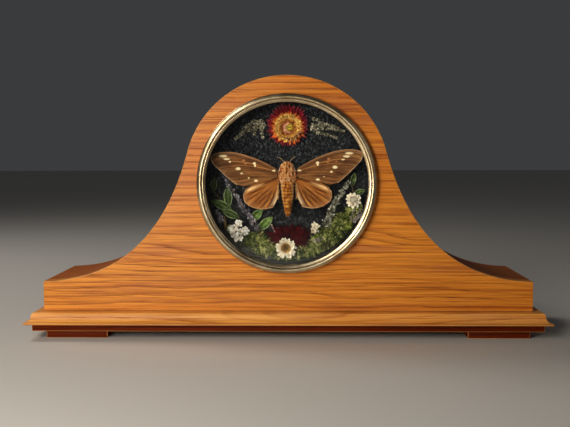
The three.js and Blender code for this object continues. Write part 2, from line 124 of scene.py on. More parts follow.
deselect()
bpy.ops.mesh.primitive_plane_add(size=14, location=(0, 0, 0))
floor = bpy.context.object
floor.name = "floor"
floor_finish = bpy.data.materials.new("floor_paint")
floor_finish.use_nodes = True
floor_finish.node_tree.nodes["Principled BSDF"].inputs["Base Color"].default_value = colour("C9C5BE")
floor_finish.node_tree.nodes["Principled BSDF"].inputs["Roughness"].default_value = 0.8
floor.data.materials.append(floor_finish)


def lamp(name, place, target, size, watts, tint):
    data = bpy.data.lights.new(name, "AREA")
    data.shape = "DISK"
    data.size = size
    data.energy = watts
    data.color = tint
    thing = bpy.data.objects.new(name, data)
    bpy.context.scene.collection.objects.link(thing)
    thing.location = place
    thing.rotation_euler = (Vector(target) - Vector(place)).to_track_quat("-Z", "Y").to_euler()
    return thing


lamp("key_light", (-0.5, -0.78, 0.56), (-0.05, 0, 0.12), 0.38, 2.8, (1, 0.94, 0.85))
lamp("front_light", (-0.3, -0.75, 0.2), (-0.03, 0, 0.13), 0.28, 2.85, (1, 0.94, 0.85))
lamp("fill_light", (1.3, -1.2, 0.6), (0, 0, 0.12), 0.9, 0.6, (1, 0.95, 0.9))
lamp("top_light", (-0.85, 0.35, 0.95), (-0.1, 0, 0.05), 0.5, 4.6, (1, 0.95, 0.9))

world = bpy.data.worlds.new("studio")
world.use_nodes = True
world.node_tree.nodes["Background"].inputs["Color"].default_value = (0.86, 0.88, 0.92, 1)
world.node_tree.nodes["Background"].inputs["Strength"].default_value = 0.05
bpy.context.scene.world = world

# %% [markdown]
# ## Building finishes
# Every finish is a node tree. These helpers keep the recipes short: `put` adds a node and fills
# its sockets, with a link where it is given a socket and a plain value otherwise. A socket knows
# its own tree, so a recipe only names what is worked on.

# %% Finish helpers
def fill(socket, value):
    """Links a socket to another one, or gives it a plain value or a colour code."""
    if isinstance(value, bpy.types.NodeSocket):
        value.id_data.links.new(value, socket)
    else:
        socket.default_value = colour(value) if isinstance(value, str) else value


def put(tree, kind, out=0, operation=None, attribute_name=None, **sockets):
    """Adds a node, fills its sockets by name, and gives back one of its outputs."""
    made = tree.nodes.new(kind)
    if operation:
        made.operation = operation
    if attribute_name:
        made.attribute_name = attribute_name
    for key, value in sockets.items():
        fill(made.inputs[key.replace("_", " ")], value)
    return made.outputs[out]


def tree_of(values):
    return next(v.id_data for v in values if isinstance(v, bpy.types.NodeSocket))


def worked_out(operation, *values):
    """A sum on sockets and plain numbers."""
    made = tree_of(values).nodes.new("ShaderNodeMath")
    made.operation = operation
    for socket, value in zip(made.inputs, values):
        fill(socket, value)
    return made.outputs[0]

# %% Sums on sockets
def plus(first, second):
    return worked_out("ADD", first, second)


def minus(first, second):
    return worked_out("SUBTRACT", first, second)


def times(first, second):
    return worked_out("MULTIPLY", first, second)


def over(first, second):
    return worked_out("DIVIDE", first, second)


def distance_from(value, centre):
    return worked_out("ABSOLUTE", minus(value, centre))


def apart(place):
    """The three values of a place."""
    parts = place.id_data.nodes.new("ShaderNodeSeparateXYZ")
    fill(parts.inputs[0], place)
    return parts.outputs


def length_of(place):
    made = place.id_data.nodes.new("ShaderNodeVectorMath")
    made.operation = "LENGTH"
    fill(made.inputs[0], place)
    return made.outputs[1]

# %% [markdown]
# ## Colours, grain and relief
# A recipe mixes colours by shares, reads colours off a ramp, and follows noise that is stretched
# along the grain. A finish starts from the place on the object, so its patches have a real size.

# %% Colours and grain
def mixed(share, first, second):
    """Two colours mixed by a share, each a socket or a colour code."""
    made = tree_of((share, first, second)).nodes.new("ShaderNodeMix")
    made.data_type = "RGBA"
    for index, value in ((0, share), (6, first), (7, second)):
        fill(made.inputs[index], value)
    return made.outputs[2]


def ramp(value, *stops, smooth=False):
    """Colours or shades along a value: each stop is a place and a colour code or a shade."""
    made = value.id_data.nodes.new("ShaderNodeValToRGB")
    made.color_ramp.interpolation = "EASE" if smooth else "LINEAR"
    stations = made.color_ramp.elements
    stations.remove(stations[1])
    for number, (place, shade) in enumerate(stops):
        station = stations[0] if number == 0 else stations.new(place)
        station.position = place
        station.color = colour(shade) if isinstance(shade, str) else (shade, shade, shade, 1)
    fill(made.inputs[0], value)
    return made.outputs[0]


def grain(at, scale, stretch=(1, 1, 1), shift=(0, 0, 0), detail=4, roughness=0.55):
    """Noise from a stretched and shifted place. The scale is in patches for each metre."""
    tree = at.id_data
    moved = put(tree, "ShaderNodeMapping", Vector=at, Scale=stretch, Location=shift)
    return put(tree, "ShaderNodeTexNoise", Vector=moved, Scale=scale, Detail=detail, Roughness=roughness)

# %% Starting a finish
def finish(name, shade="808080", **settings):
    """A new finish: the material, its shader and the place on the object."""
    made = bpy.data.materials.new(name)
    made.use_nodes = True
    shader = made.node_tree.nodes["Principled BSDF"]
    shader.inputs["Base Color"].default_value = colour(shade)
    shader.inputs["Specular IOR Level"].default_value = 0.08  # dry, dull things shine little
    for key, value in settings.items():
        shader.inputs[key.replace("_", " ")].default_value = value
    return made, shader, put(made.node_tree, "ShaderNodeTexCoord", out=3)


def connect(value, shader, socket="Base Color"):
    fill(shader.inputs[socket], value)


def relief(shader, height, strength, depth):
    """Bump from a height; the depth is in millimetres."""
    made = put(height.id_data, "ShaderNodeBump", Strength=strength, Distance=depth * MM, Height=height)
    connect(made, shader, "Normal")


def grained(name, shade, scale, stops, strength, depth, stretch=(1, 1, 1), detail=4, fineness=0.55,
            **settings):
    """A simple finish: one noise gives both the colours and the relief."""
    made, shader, place = finish(name, shade, **settings)
    flecks = grain(place, scale, stretch, detail=detail, roughness=fineness)
    connect(ramp(flecks, *stops), shader)
    relief(shader, flecks, strength, depth)
    return made

# %% [markdown]
# ## Oak
# The case is plain-sawn oak under an amber varnish. A saw that cuts straight through the rings
# leaves long, nearly level lines, which close into arches where it only grazes a ring. So the
# pattern is a height map: the height across the grain, bent by slow noise and by a few hills, and
# each ring is one step of that height. Along each ring lie the open pores, as dark broken dashes.

# %% Oak
OAK_RING = 9.0  # the usual distance between two rings
BEND = 2.86  # how many rings the slow noise moves a line
RIPPLE = 0.975


def hill(at, centre, reach, height):
    """A smooth hill in the ring height, which draws closed arches round its centre."""
    far = [1 / (r * MM) for r in reach]
    shift = [-c * MM * f for c, f in zip(centre, far)]
    away = length_of(put(at.id_data, "ShaderNodeMapping", Vector=at, Scale=far, Location=shift))
    square = times(away, away)
    return times(worked_out("POWER", math.e, times(square, -1.0)), height)


def drawn_out(ratio):
    """The stretch of a noise whose patches are so many times longer than high."""
    return (1, ratio, ratio)


def oak(name, light, middle, dark, pore, cloudy="B4683A", across="Z", ring=OAK_RING, hills=(),
        shift=(0, 0, 0), gloss=0.38, coat=0.06, shine=0.22):
    """Oak in five tones, grained along X. Its rings lie so many millimetres apart across it."""
    made, shader, at = finish(name, Roughness=gloss, Specular_IOR_Level=shine,
                              Coat_Weight=coat, Coat_Roughness=0.25)
    slow, quick = drawn_out(4), drawn_out(42)
    tone_patch = grain(at, 7, slow, (2, 8, 3), 3)
    height = times(apart(at)[across], 1 / (ring * MM))
    bend = minus(grain(at, 3.2, slow, shift, 2), 0.5)
    height = plus(height, times(bend, BEND * OAK_RING / ring))
    ripple = minus(grain(at, 14, slow, shift, 3), 0.5)
    height = plus(height, times(ripple, RIPPLE))
    for centre, reach, size in hills:
        height = plus(height, hill(at, centre, reach, size))
    ring_place = worked_out("FRACT", height)
    fibre = grain(at, 9, quick, shift, 6, 0.68)
    streaky = ramp(grain(at, 13, quick, (5, 2, 4), 4, 0.7), (0.4, 0.35), (0.6, 1))
    early = ramp(ring_place, (0, 1), (0.09, 0.9), (0.2, 0.35), (0.45, 0), (0.95, 0), (1, 1))
    strength = ramp(grain(at, 8, slow, (3, 1, 2), 2), (0.36, 0.45), (0.56, 1))
    early = times(times(early, strength), streaky)
    lines = grain(at, 6, drawn_out(75), (7, 3, 5), 5, 0.7)
    lines = times(ramp(lines, (0.5, 0), (0.6, 1)), ramp(tone_patch, (0.4, 0.45), (0.6, 1)))
    tone = grain(at, 2.6, slow, (1, 5, 2), 3)
    base = mixed(ramp(tone, (0.36, 0), (0.68, 1)), light, middle)
    base = mixed(ramp(fibre, (0.4, 0), (0.62, 0.9)), base, middle)
    base = mixed(ramp(fibre, (0.56, 0), (0.7, 0.6)), base, dark)
    cloud = grain(at, 5, drawn_out(8), (9, 2, 6), 4, 0.65)
    base = mixed(ramp(cloud, (0.53, 0), (0.65, 0.65)), base, cloudy)
    base = mixed(times(lines, 0.8), base, dark)
    gleam = grain(at, 6, drawn_out(120), (1, 9, 2), 4, 0.7)
    base = mixed(ramp(gleam, (0.52, 0), (0.6, 0.6)), base, light)
    base = mixed(times(early, 0.9), base, dark)
    dashes = ramp(grain(at, 34, quick, (2, 3, 1), 3, 0.7), (0.55, 0), (0.63, 1))
    pores = times(dashes, plus(times(early, 0.75), 0.14))
    base = mixed(pores, base, pore)
    connect(base, shader)
    rough = plus(times(fibre, 0.16), gloss - 0.06)
    connect(plus(rough, times(pores, 0.3)), shader, "Roughness")
    surface = minus(times(fibre, 0.5), pores)
    relief(shader, surface, 0.5, 0.22)
    return made

# %% Oak finishes
HONEY = ("EC9832", "CE741C", "964608", "4A1E04")
board_hills = (
    ((-70, 0, 76), (105, 400, 17), 1.7),
    ((116, 0, 91), (52, 400, 12), 1.5),
    ((70, 0, 47), (120, 400, 13), -1.0),
)
oak_face = oak("oak_face", *HONEY, hills=board_hills, ring=6.2)
base_hill = ((20, 0, 20), (90, 400, 9), 1.6)
# The base moulding's oak is paler than the face's: partly its own tone, partly painted light on the bead and
# the strip above it.
oak_base = oak("oak_base", "F4AC54", "E0903A", "B0601A", "6A3410", "C88858", shift=(4, 7, 1), ring=7,
               hills=(base_hill,))
# The arris oak is paler: partly worn varnish, partly a painted highlight along the broken edges.
oak_arris_wear_and_highlight = oak("oak_arris_wear_and_highlight", "DC9C52", "CC8840", "AA6A2E", "8A5028", shift=(1, 2, 6), gloss=0.3)
oak_dark = oak("oak_dark", "B8662A", "A05520", "7C3E14", "4C240C", "94502A", across="Y", ring=10,
               shift=(2, 9, 5), gloss=0.5, coat=0, shine=0.12)
# Painted shade: a much darker copy of the oak for the base board and feet, which lie in shadow under the
# moulding.
oak_painted_shade = oak("oak_painted_shade", "702608", "5E1E06", "481404", "280A02", "521A06", shift=(6, 3, 2),
                gloss=0.5, coat=0, shine=0.06)
print("oak finishes:", [m.name for m in (oak_face, oak_base, oak_arris_wear_and_highlight, oak_dark, oak_painted_shade)])

# %% [markdown]
# ## Helpers for the case
# The base's solids are fine enough, so they are copied, their doubled corners are merged, and their
# flat faces are joined again. The edges that a hand would break with sandpaper get a narrow arris,
# where the varnish is paler: partly worn, and partly a painted highlight. The solid's own mesh isn't
# touched.

# %% Case helpers
MERGE_WITHIN = 0.00001
FLAT_WITHIN = math.radians(0.6)


def make_active(piece):
    deselect()
    piece.select_set(True)
    bpy.context.view_layer.objects.active = piece


def start_editing(piece):
    make_active(piece)
    bpy.ops.object.mode_set(mode="EDIT")


def choose_edges(piece, test):
    """In edit mode, selects the edges that pass a test and nothing else, and says whether there are any."""
    bpy.ops.mesh.select_mode(type="EDGE")
    bpy.ops.mesh.select_all(action="DESELECT")
    chosen = [edge for edge in bmesh.from_edit_mesh(piece.data).edges if test(edge)]
    for edge in chosen:
        edge.select_set(True)
    bmesh.update_edit_mesh(piece.data)
    return bool(chosen)


def show(name, data):
    """A new object in the scene from a mesh or a curve."""
    piece = bpy.data.objects.new(name, data)
    bpy.context.scene.collection.objects.link(piece)
    return piece


def cover(piece, *finishes):
    piece.data.materials.clear()
    for item in finishes:
        piece.data.materials.append(item)

# %% Copying, easing and settling
def copy_of(node, name, *finishes):
    """A merged copy of a solid, to be dressed in its place."""
    piece = show(name, frame["nodes"][node].data.copy())
    start_editing(piece)
    bpy.ops.mesh.select_all(action="SELECT")
    bpy.ops.mesh.remove_doubles(threshold=MERGE_WITHIN)
    bpy.ops.mesh.dissolve_limited(angle_limit=FLAT_WITHIN)
    bpy.ops.object.mode_set(mode="OBJECT")
    cover(piece, *finishes)
    return piece


def sharp(edge, least=25):
    return len(edge.link_faces) == 2 and math.degrees(edge.calc_face_angle(0)) > least


def break_edges(piece, test, width, segments=2, finish_index=-1):
    """Bevels the edges that pass a test, by so many millimetres."""
    start_editing(piece)
    if choose_edges(piece, test):
        bpy.ops.mesh.bevel(offset=width * MM, segments=segments, profile=0.5, material=finish_index)
    bpy.ops.object.mode_set(mode="OBJECT")


def bore(piece, cutter):
    """Takes a cutter's shape out of a piece, and the cutter away."""
    cut = piece.modifiers.new("cut", "BOOLEAN")
    cut.operation = "DIFFERENCE"
    cut.object = cutter
    make_active(piece)
    bpy.ops.object.modifier_apply(modifier=cut.name)
    bpy.data.objects.remove(cutter)


def settle(piece, body_slot, *finishes, stands_for=(), smooth=30):
    """Gives a finished piece its finishes and its body. The slot that it is passed is not used."""
    if finishes:
        cover(piece, *finishes)
    make_active(piece)
    if smooth:
        bpy.ops.object.shade_smooth_by_angle(angle=math.radians(smooth))
    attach(piece, "root")
    if stands_for:
        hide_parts(*stands_for)
    print(piece.name, len(piece.data.polygons), "faces")
    return piece

# %% [markdown]
# ## The case
# The front, the bent top and the back board share one outline: a round hump, a hollow flank and a
# nearly level shoulder. The solids draw it in short straight steps. Here it is drawn again by the
# same round and the same curve with many more, and each board is a flat shape pulled back to its
# thickness. The window is bored through the front with a cylinder.

# %% Case outline
HALF_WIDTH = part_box("front_board")[1].x / MM
CASE_BOTTOM_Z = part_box("front_board")[0].z / MM
HUMP_RADIUS = 94
HUMP_Z = 146  # the middle of the hump's round
HUMP_END = 0.266  # the angle above level at which the round turns into the flank
FLANK_HANDLE = 68  # how far the flank's curve is led by the hump, and by the shoulder
SHOULDER_HANDLE = 78
SHOULDER_RISE = 1.3
SHOULDER_Z = 51.8  # the top of the shoulder's end
SKIN = 7  # the bent top's thickness
OPENING_RADIUS = 78
ARRIS, BACK_ARRIS, BASE_ARRIS = 0.6, 0.7, 0.5


def at(x, z, depth):
    """A place on the case: millimetres across, up, and behind the case's face."""
    return Vector((x * MM, FACE_Y + depth * MM, z * MM))


def half_outline(inset, steps=48):
    """Half the outline, from the top of the hump to the shoulder's end, moved in by an inset."""
    points = []
    radius = HUMP_RADIUS - inset
    for angle in np.linspace(math.pi / 2, HUMP_END, steps, endpoint=False):
        points.append((radius * math.cos(angle), HUMP_Z + radius * math.sin(angle)))
    start = Vector((HUMP_RADIUS * math.cos(HUMP_END), HUMP_Z + HUMP_RADIUS * math.sin(HUMP_END)))
    low = start + Vector((math.sin(HUMP_END), -math.cos(HUMP_END))) * FLANK_HANDLE
    level = Vector((HALF_WIDTH - SHOULDER_HANDLE, SHOULDER_Z + SHOULDER_RISE))
    end = Vector((HALF_WIDTH, SHOULDER_Z))
    for t in np.linspace(0, 1, steps):
        u = 1 - t
        spot = start * u**3 + low * (3 * t * u * u) + level * (3 * t * t * u) + end * t**3
        way = ((low - start) * u * u + (level - low) * (2 * t * u) + (end - level) * t * t).normalized()
        points.append((min(spot.x + way.y * inset, HALF_WIDTH - inset), spot.y - way.x * inset))
    return points


def whole_outline(inset=0):
    half = half_outline(inset) + [(HALF_WIDTH - inset, CASE_BOTTOM_Z)]
    return [(-x, z) for x, z in reversed(half[1:])] + half


def cut_out(node, name, line, *finishes):
    """A board with a drawn outline, as deep as the solid that it stands for."""
    low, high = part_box(node)
    deselect()
    bpy.ops.mesh.primitive_circle_add(vertices=len(line), radius=0.1, fill_type="NGON")
    piece = bpy.context.object
    piece.name = name
    for corner, (x, z) in zip(piece.data.vertices, line):
        corner.co = (x * MM, low.y, z * MM)
    start_editing(piece)
    bpy.ops.mesh.select_all(action="SELECT")
    bpy.ops.mesh.extrude_region_move(TRANSFORM_OT_translate={"value": (0, high.y - low.y, 0)})
    bpy.ops.mesh.select_all(action="SELECT")
    bpy.ops.mesh.normals_make_consistent(inside=False)
    bpy.ops.object.mode_set(mode="OBJECT")
    cover(piece, *finishes)
    return piece

# %% Case
def at_shoulder_end(edge):
    return sharp(edge, 60) and all(abs(v.co.x) > (HALF_WIDTH - 0.1) * MM and v.co.z > (SHOULDER_Z - 1) * MM
                                   for v in edge.verts)


def at_front(edge):
    return sharp(edge) and all(v.co.y < FACE_Y + 0.1 * MM for v in edge.verts)


def at_back(edge):
    back_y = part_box("back_board")[1].y
    return sharp(edge) and all(v.co.y > back_y - 0.1 * MM for v in edge.verts)


front_board = cut_out("front_board", "oak_front_board", whole_outline())
deselect()
bpy.ops.mesh.primitive_cylinder_add(vertices=160, radius=OPENING_RADIUS * MM, depth=0.1,
                                    location=at(0, WINDOW_Z, 0), rotation=(math.pi / 2, 0, 0))
bore(front_board, bpy.context.object)
cover(front_board, oak_face, oak_arris_wear_and_highlight)
break_edges(front_board, lambda e: at_front(e) or at_shoulder_end(e), ARRIS, 2, 1)
settle(front_board, "oak_face", stands_for=["front_board"], smooth=20)

top_outline = whole_outline() + whole_outline(SKIN)[::-1]
bent_top = cut_out("bent_top", "oak_bent_top", top_outline, oak_dark, oak_arris_wear_and_highlight)
break_edges(bent_top, at_shoulder_end, ARRIS, 2, 1)
settle(bent_top, "oak_case", stands_for=["bent_top"], smooth=20)

back_board = cut_out("back_board", "oak_back_board", whole_outline(), oak_dark, oak_arris_wear_and_highlight)
break_edges(back_board, lambda e: at_back(e) or at_shoulder_end(e), BACK_ARRIS, 2, 1)
settle(back_board, "oak_case", stands_for=["back_board"], smooth=20)

# %% [markdown]
# ## Base
# The base board has a bead and a cove cut along its front and sides. The solid has the profile in
# a few steps, which is enough once its curves are shaded smooth; the lip's two long edges are
# eased so that they catch a thin line of light, as they do in the photograph.

# %% Base
def at_lip(edge):
    lip_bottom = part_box("base_moulding")[0].z
    return sharp(edge, 40) and all(v.co.z < lip_bottom + 2 * MM for v in edge.verts)


base_moulding = copy_of("base_moulding", "oak_base_moulding", oak_base, oak_arris_wear_and_highlight)
break_edges(base_moulding, at_lip, BASE_ARRIS, 2, 1)
settle(base_moulding, "oak_face", stands_for=["base_moulding"], smooth=32)
# The base board and feet take the darker oak as painted shade.
for node in ("base_board", "foot_front_left", "foot_front_right", "foot_back_left", "foot_back_right"):
    piece = copy_of(node, f"oak_{node}", oak_painted_shade, oak_arris_wear_and_highlight)
    break_edges(piece, sharp, BASE_ARRIS, 2, 1)
    settle(piece, "oak_case", stands_for=[node], smooth=30)

# %% [markdown]
# ## The window's ring
# The brass bezel is a turned ring, so it is made as on a lathe: a closed profile of radius and
# depth is spun round the window's axis. Its rib falls away outwards in a nearly flat flank, and a
# narrow bevel runs inside it with a dark groove between the two, so that each catches the light as
# one broad band. Fine turning lines follow the ring.

# %% Turning helpers
def close_up(piece):
    """Merges doubled corners and turns every face outwards."""
    start_editing(piece)
    bpy.ops.mesh.select_all(action="SELECT")
    bpy.ops.mesh.remove_doubles(threshold=0.000002)
    bpy.ops.mesh.normals_make_consistent(inside=False)
    bpy.ops.object.mode_set(mode="OBJECT")


def turned(name, profile, steps=160):
    """A ring spun from a closed profile of radius and depth."""
    deselect()
    bpy.ops.mesh.primitive_circle_add(vertices=len(profile), radius=0.1, fill_type="NOTHING")
    piece = bpy.context.object
    piece.name = name
    for corner, (radius, depth) in zip(piece.data.vertices, profile):
        corner.co = at(radius, WINDOW_Z, depth)
    start_editing(piece)
    bpy.ops.mesh.select_all(action="SELECT")
    bpy.ops.mesh.spin(steps=steps, angle=2 * math.pi, center=(0, 0, WINDOW_Z * MM), axis=(0, 1, 0))
    bpy.ops.object.mode_set(mode="OBJECT")
    close_up(piece)
    return piece


def half_round(centre, size, start, end, count):
    """Points of a round in the profile, from one angle to another."""
    angles = np.linspace(start, end, count)
    return [(centre[0] + size * math.cos(a), centre[1] + size * math.sin(a)) for a in angles]

# %% Brass
def brass(name, turning=True):
    made, shader, place = finish(name, "D9B46A", Metallic=1, Roughness=0.2)
    tone = mixed(ramp(grain(place, 60, detail=5), (0.35, 0), (0.7, 1)), "E4D2AC", "A8906A")
    specks = ramp(grain(place, 900, detail=2), (0.66, 0), (0.74, 0.6))
    connect(mixed(specks, tone, "6E5A3C"), shader)
    if turning:  # the noise is read along the radius and the depth, and hardly along the turn
        centred = put(place.id_data, "ShaderNodeMapping", Vector=place, Scale=(1, 0, 1),
                      Location=(0, 0, -WINDOW_Z * MM))
        across, _, up = apart(centred)
        along = times(worked_out("ARCTAN2", up, across), 0.0015)
        thread = put(place.id_data, "ShaderNodeCombineXYZ", X=length_of(centred), Y=apart(place)[1], Z=along)
        lines = grain(thread, 2600, detail=2)
    else:
        lines = grain(place, 1800, detail=2)
    connect(plus(times(lines, 0.14), 0.2), shader, "Roughness")
    relief(shader, lines, 0.05, 0.06)
    return made

# %% Bezel
def flank(radius, depth, width, first_tilt, last_tilt, count=8):
    """A nearly flat slope of the profile, which falls away a little more with every step."""
    points = [(radius, depth)]
    for i in range(count):
        tilt = math.radians(first_tilt + (last_tilt - first_tilt) * (i + 0.5) / count)
        radius, depth = radius + width / count, depth + abs(width) / count * math.tan(tilt)
        points.append((radius, depth))
    return points


bezel_brass = brass("bezel_brass")
BEVEL_TILT, BEVEL_END_TILT, FLANK_END_TILT = 17, 30, 27  # degrees off the case's face
bevel = flank(76.2, -6.3, -1.95, BEVEL_TILT, BEVEL_END_TILT)
profile = [(73.9, -4.9), (73.98, -5.2)] + bevel[::-1] + [(76.42, -6.25), (76.55, -6.05)]
profile += [(76.62, -3.9), (76.64, -3.7)]  # the groove
profile += half_round((78.4, -6.24), 1.76, -math.pi + 0.1, -math.pi / 2 + 0.12, 9)
profile += flank(78.75, -7.98, 2.15, BEVEL_TILT, FLANK_END_TILT)
profile += half_round((80, -5.45), 1.8, -math.pi / 3 + 0.1, 0, 7)
profile += [(81.8, -0.75), (81.5, -0.3), (77.7, -0.3), (77.7, 3.5), (77, 3.5), (77, -3.5), (73.9, -3.5)]
settle(turned("brass_bezel", profile, 192), "brass", bezel_brass, stands_for=["bezel"], smooth=40)

# %% [markdown]
# ## Glass and liner
# The glass is a plain ground disc: a cylinder with its rims eased, fully clear. It casts no
# shadow, as thin clear glass hardly does. Behind it a black card tube hides the board's thickness.

# %% Glass and liner
deselect()
bpy.ops.mesh.primitive_cylinder_add(vertices=160, radius=76.6 * MM, depth=2 * MM)
window_glass = bpy.context.object
window_glass.name = "window_glass"
window_glass.data.transform(Matrix.Translation(at(0, WINDOW_Z, -2.2)) @ Matrix.Rotation(math.pi / 2, 4, "X"))
break_edges(window_glass, lambda e: sharp(e, 60), 0.25, 2)
clear = finish("clear_glass", "F4F8F7", Roughness=0.0, IOR=1.45, Transmission_Weight=1,
               Specular_IOR_Level=0.12)[0]
window_glass.visible_shadow = False
settle(window_glass, "window_glass", clear, stands_for=["glass"], smooth=0)

card = grained("black_card", "17181B", 1400, ((0.3, "0E0F11"), (0.75, "24262A")), 0.3, 0.15, detail=3,
               Roughness=0.85)
liner_profile = [(75.8, -0.9), (76.6, -0.9), (76.6, 3.8), (77.6, 3.8), (77.6, 31), (75.8, 31)]
settle(turned("card_liner", liner_profile, 128), "liner_card", card, stands_for=["liner"], smooth=30)

# %% [markdown]
# ## Shaped sheets and the backdrop
# A sheet is a grid that a rule lays out, and then it gets its thickness. The backdrop is one such
# sheet, a rough dark disc, split like slate. Later the wings, leaves and petals are made this way.

# %% Shaped sheets
def sheet(name, across, along, where):
    """A grid laid out by a rule from its two shares, 0 to 1 each, to a place. It keeps both as its map."""
    deselect()
    bpy.ops.mesh.primitive_grid_add(x_subdivisions=across, y_subdivisions=along, size=2)
    piece = bpy.context.object
    piece.name = name
    for corner in piece.data.vertices:
        corner.co = where((corner.co.x + 1) / 2, (corner.co.y + 1) / 2)
    return piece


def thicken(piece, thickness, offset=-1):
    modifier = piece.modifiers.new("thickness", "SOLIDIFY")
    modifier.thickness = thickness * MM
    modifier.offset = offset
    make_active(piece)
    bpy.ops.object.modifier_apply(modifier=modifier.name)
    close_up(piece)
    return piece

# %% Backdrop
BACKDROP_RADIUS = 79.8


def slate_place(across, up):
    """A square grid drawn in to a disc, with a split surface."""
    a, b = across * 2 - 1, up * 2 - 1
    x, z = a * math.sqrt(1 - b * b / 2) * BACKDROP_RADIUS, b * math.sqrt(1 - a * a / 2) * BACKDROP_RADIUS
    rough = noise.fractal(Vector((x * 0.12, z * 0.16, 3)), 1.0, 2.1, 4) * 0.45
    rough += noise.noise(Vector((x * 0.9 + z * 0.5, z * 0.7, 8))) * 0.14
    return at(x, WINDOW_Z + z, 31.9 - min(0.55, max(-0.5, rough)))


slate, slate_shader, slate_at = finish("rough_slate", "1E2226", Roughness=0.82)
fibres = grain(slate_at, 390, (1.2, 1, 0.8), detail=8, roughness=0.82)
chips = grain(slate_at, 520, (0.7, 1, 1.4), detail=4)
slate_tone = ramp(fibres, (0.4, "060606"), (0.48, "151617"), (0.54, "2A2B2D"), (0.61, "5E6063"))
light_chips = ramp(chips, (0.6, 0), (0.7, 0.3))
connect(mixed(light_chips, slate_tone, "5E6064"), slate_shader)
slate_height = plus(times(chips, 0.6), fibres)
relief(slate_shader, slate_height, 1.0, 1.5)
backdrop = thicken(sheet("slate_backdrop", 150, 150, slate_place), 2.2)
settle(backdrop, "rough_backdrop", slate, stands_for=["backdrop"], smooth=80)

# %% [markdown]
# ## Screws at the back
# Seven round-headed brass screws hold the back board. One head is a low cylinder with its rim
# rounded over. A bar is taken out of it for the slot, and it is copied to each screw's place.

# %% Screws
SCREW_RADIUS, SCREW_RISE, SCREW_ROUND = 2.8, 1.5, 0.9
SLOT_SIZE = (6, 0.7, 1.2)
SLOT_Z = 1.3

plain_brass = brass("screw_brass", turning=False)
deselect()
bpy.ops.mesh.primitive_cylinder_add(vertices=32, radius=SCREW_RADIUS * MM, depth=SCREW_RISE * MM,
                                    location=(0, 0, SCREW_RISE / 2 * MM))
screw_head = bpy.context.object
bpy.ops.object.transform_apply(location=True)
break_edges(screw_head, lambda e: all(v.co.z > (SCREW_RISE - 0.1) * MM for v in e.verts), SCREW_ROUND, 4)
bpy.ops.mesh.primitive_cube_add(size=1, location=(0, 0, SLOT_Z * MM))
slot_cutter = bpy.context.object
slot_cutter.scale = Vector(SLOT_SIZE) * MM
bore(screw_head, slot_cutter)
for number in range(1, 8):
    node = f"back_screw_{number}"
    low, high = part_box(node)
    head = show(f"brass_screw_{number}", screw_head.data.copy())
    turn = Matrix.Rotation(0.7 * number, 4, "Y") @ Matrix.Rotation(-math.pi / 2, 4, "X")
    head.data.transform(Matrix.Translation(((low.x + high.x) / 2, low.y, (low.z + high.z) / 2)) @ turn)
    settle(head, "brass", plain_brass, stands_for=[node], smooth=30)
bpy.data.objects.remove(screw_head)

# %% [markdown]
# ## Repeating a small shape
# Hairs, petals, buds and moss are one small shape each, modelled once and laid out hundreds of
# times. The copies are joined in one mesh. Each copy also gets a tone, a number from 0 to 1 that
# the finish reads, so that no two neighbours have quite the same colour.

# %% Layout helpers
def laid_out(name, shape, places, tones):
    """One mesh with a copy of the shape at each place, a 4x4 matrix, and its tone as an attribute."""
    source = shape.data
    corners = np.empty(len(source.vertices) * 3)
    source.vertices.foreach_get("co", corners)
    corners = corners.reshape(-1, 3)
    loops = np.empty(len(source.loops), int)
    source.loops.foreach_get("vertex_index", loops)
    starts = np.empty(len(source.polygons), int)
    source.polygons.foreach_get("loop_start", starts)
    matrices = np.array([[list(row) for row in place] for place in places])
    copies = len(matrices)
    moved = np.einsum("nij,kj->nki", matrices[:, :3, :3], corners) + matrices[:, None, :3, 3]
    mesh = bpy.data.meshes.new(name)
    mesh.vertices.add(copies * len(corners))
    mesh.vertices.foreach_set("co", moved.ravel())
    mesh.loops.add(copies * len(loops))
    shift = np.repeat(np.arange(copies) * len(corners), len(loops))
    mesh.loops.foreach_set("vertex_index", (np.tile(loops, copies) + shift).astype(np.int32))
    mesh.polygons.add(copies * len(starts))
    shift = np.repeat(np.arange(copies) * len(loops), len(starts))
    mesh.polygons.foreach_set("loop_start", (np.tile(starts, copies) + shift).astype(np.int32))
    if source.uv_layers:
        flat = np.empty(len(loops) * 2)
        source.uv_layers[0].uv.foreach_get("vector", flat)
        mesh.uv_layers.new(name="UVMap").uv.foreach_set("vector", np.tile(flat, copies))
    tone = mesh.attributes.new("tone", "FLOAT", "POINT")
    tone.data.foreach_set("value", np.repeat(np.array(tones, float), len(corners)))
    mesh.update(calc_edges=True)
    mesh.validate()
    return show(name, mesh)


def joined(name, pieces):
    """One piece out of several; the first gives it its place."""
    deselect()
    for piece in pieces:
        piece.select_set(True)
    bpy.context.view_layer.objects.active = pieces[0]
    bpy.ops.object.join()
    pieces[0].name = name
    return pieces[0]


def aimed(place, direction, width, length, roll=0.0):
    """The matrix that stands a shape on a place, its Z along a direction."""
    turn = Vector(direction).to_track_quat("Z", "Y").to_matrix().to_4x4() @ Matrix.Rotation(roll, 4, "Z")
    return Matrix.Translation(place) @ turn @ Matrix.Diagonal((width * MM, width * MM, length * MM, 1))

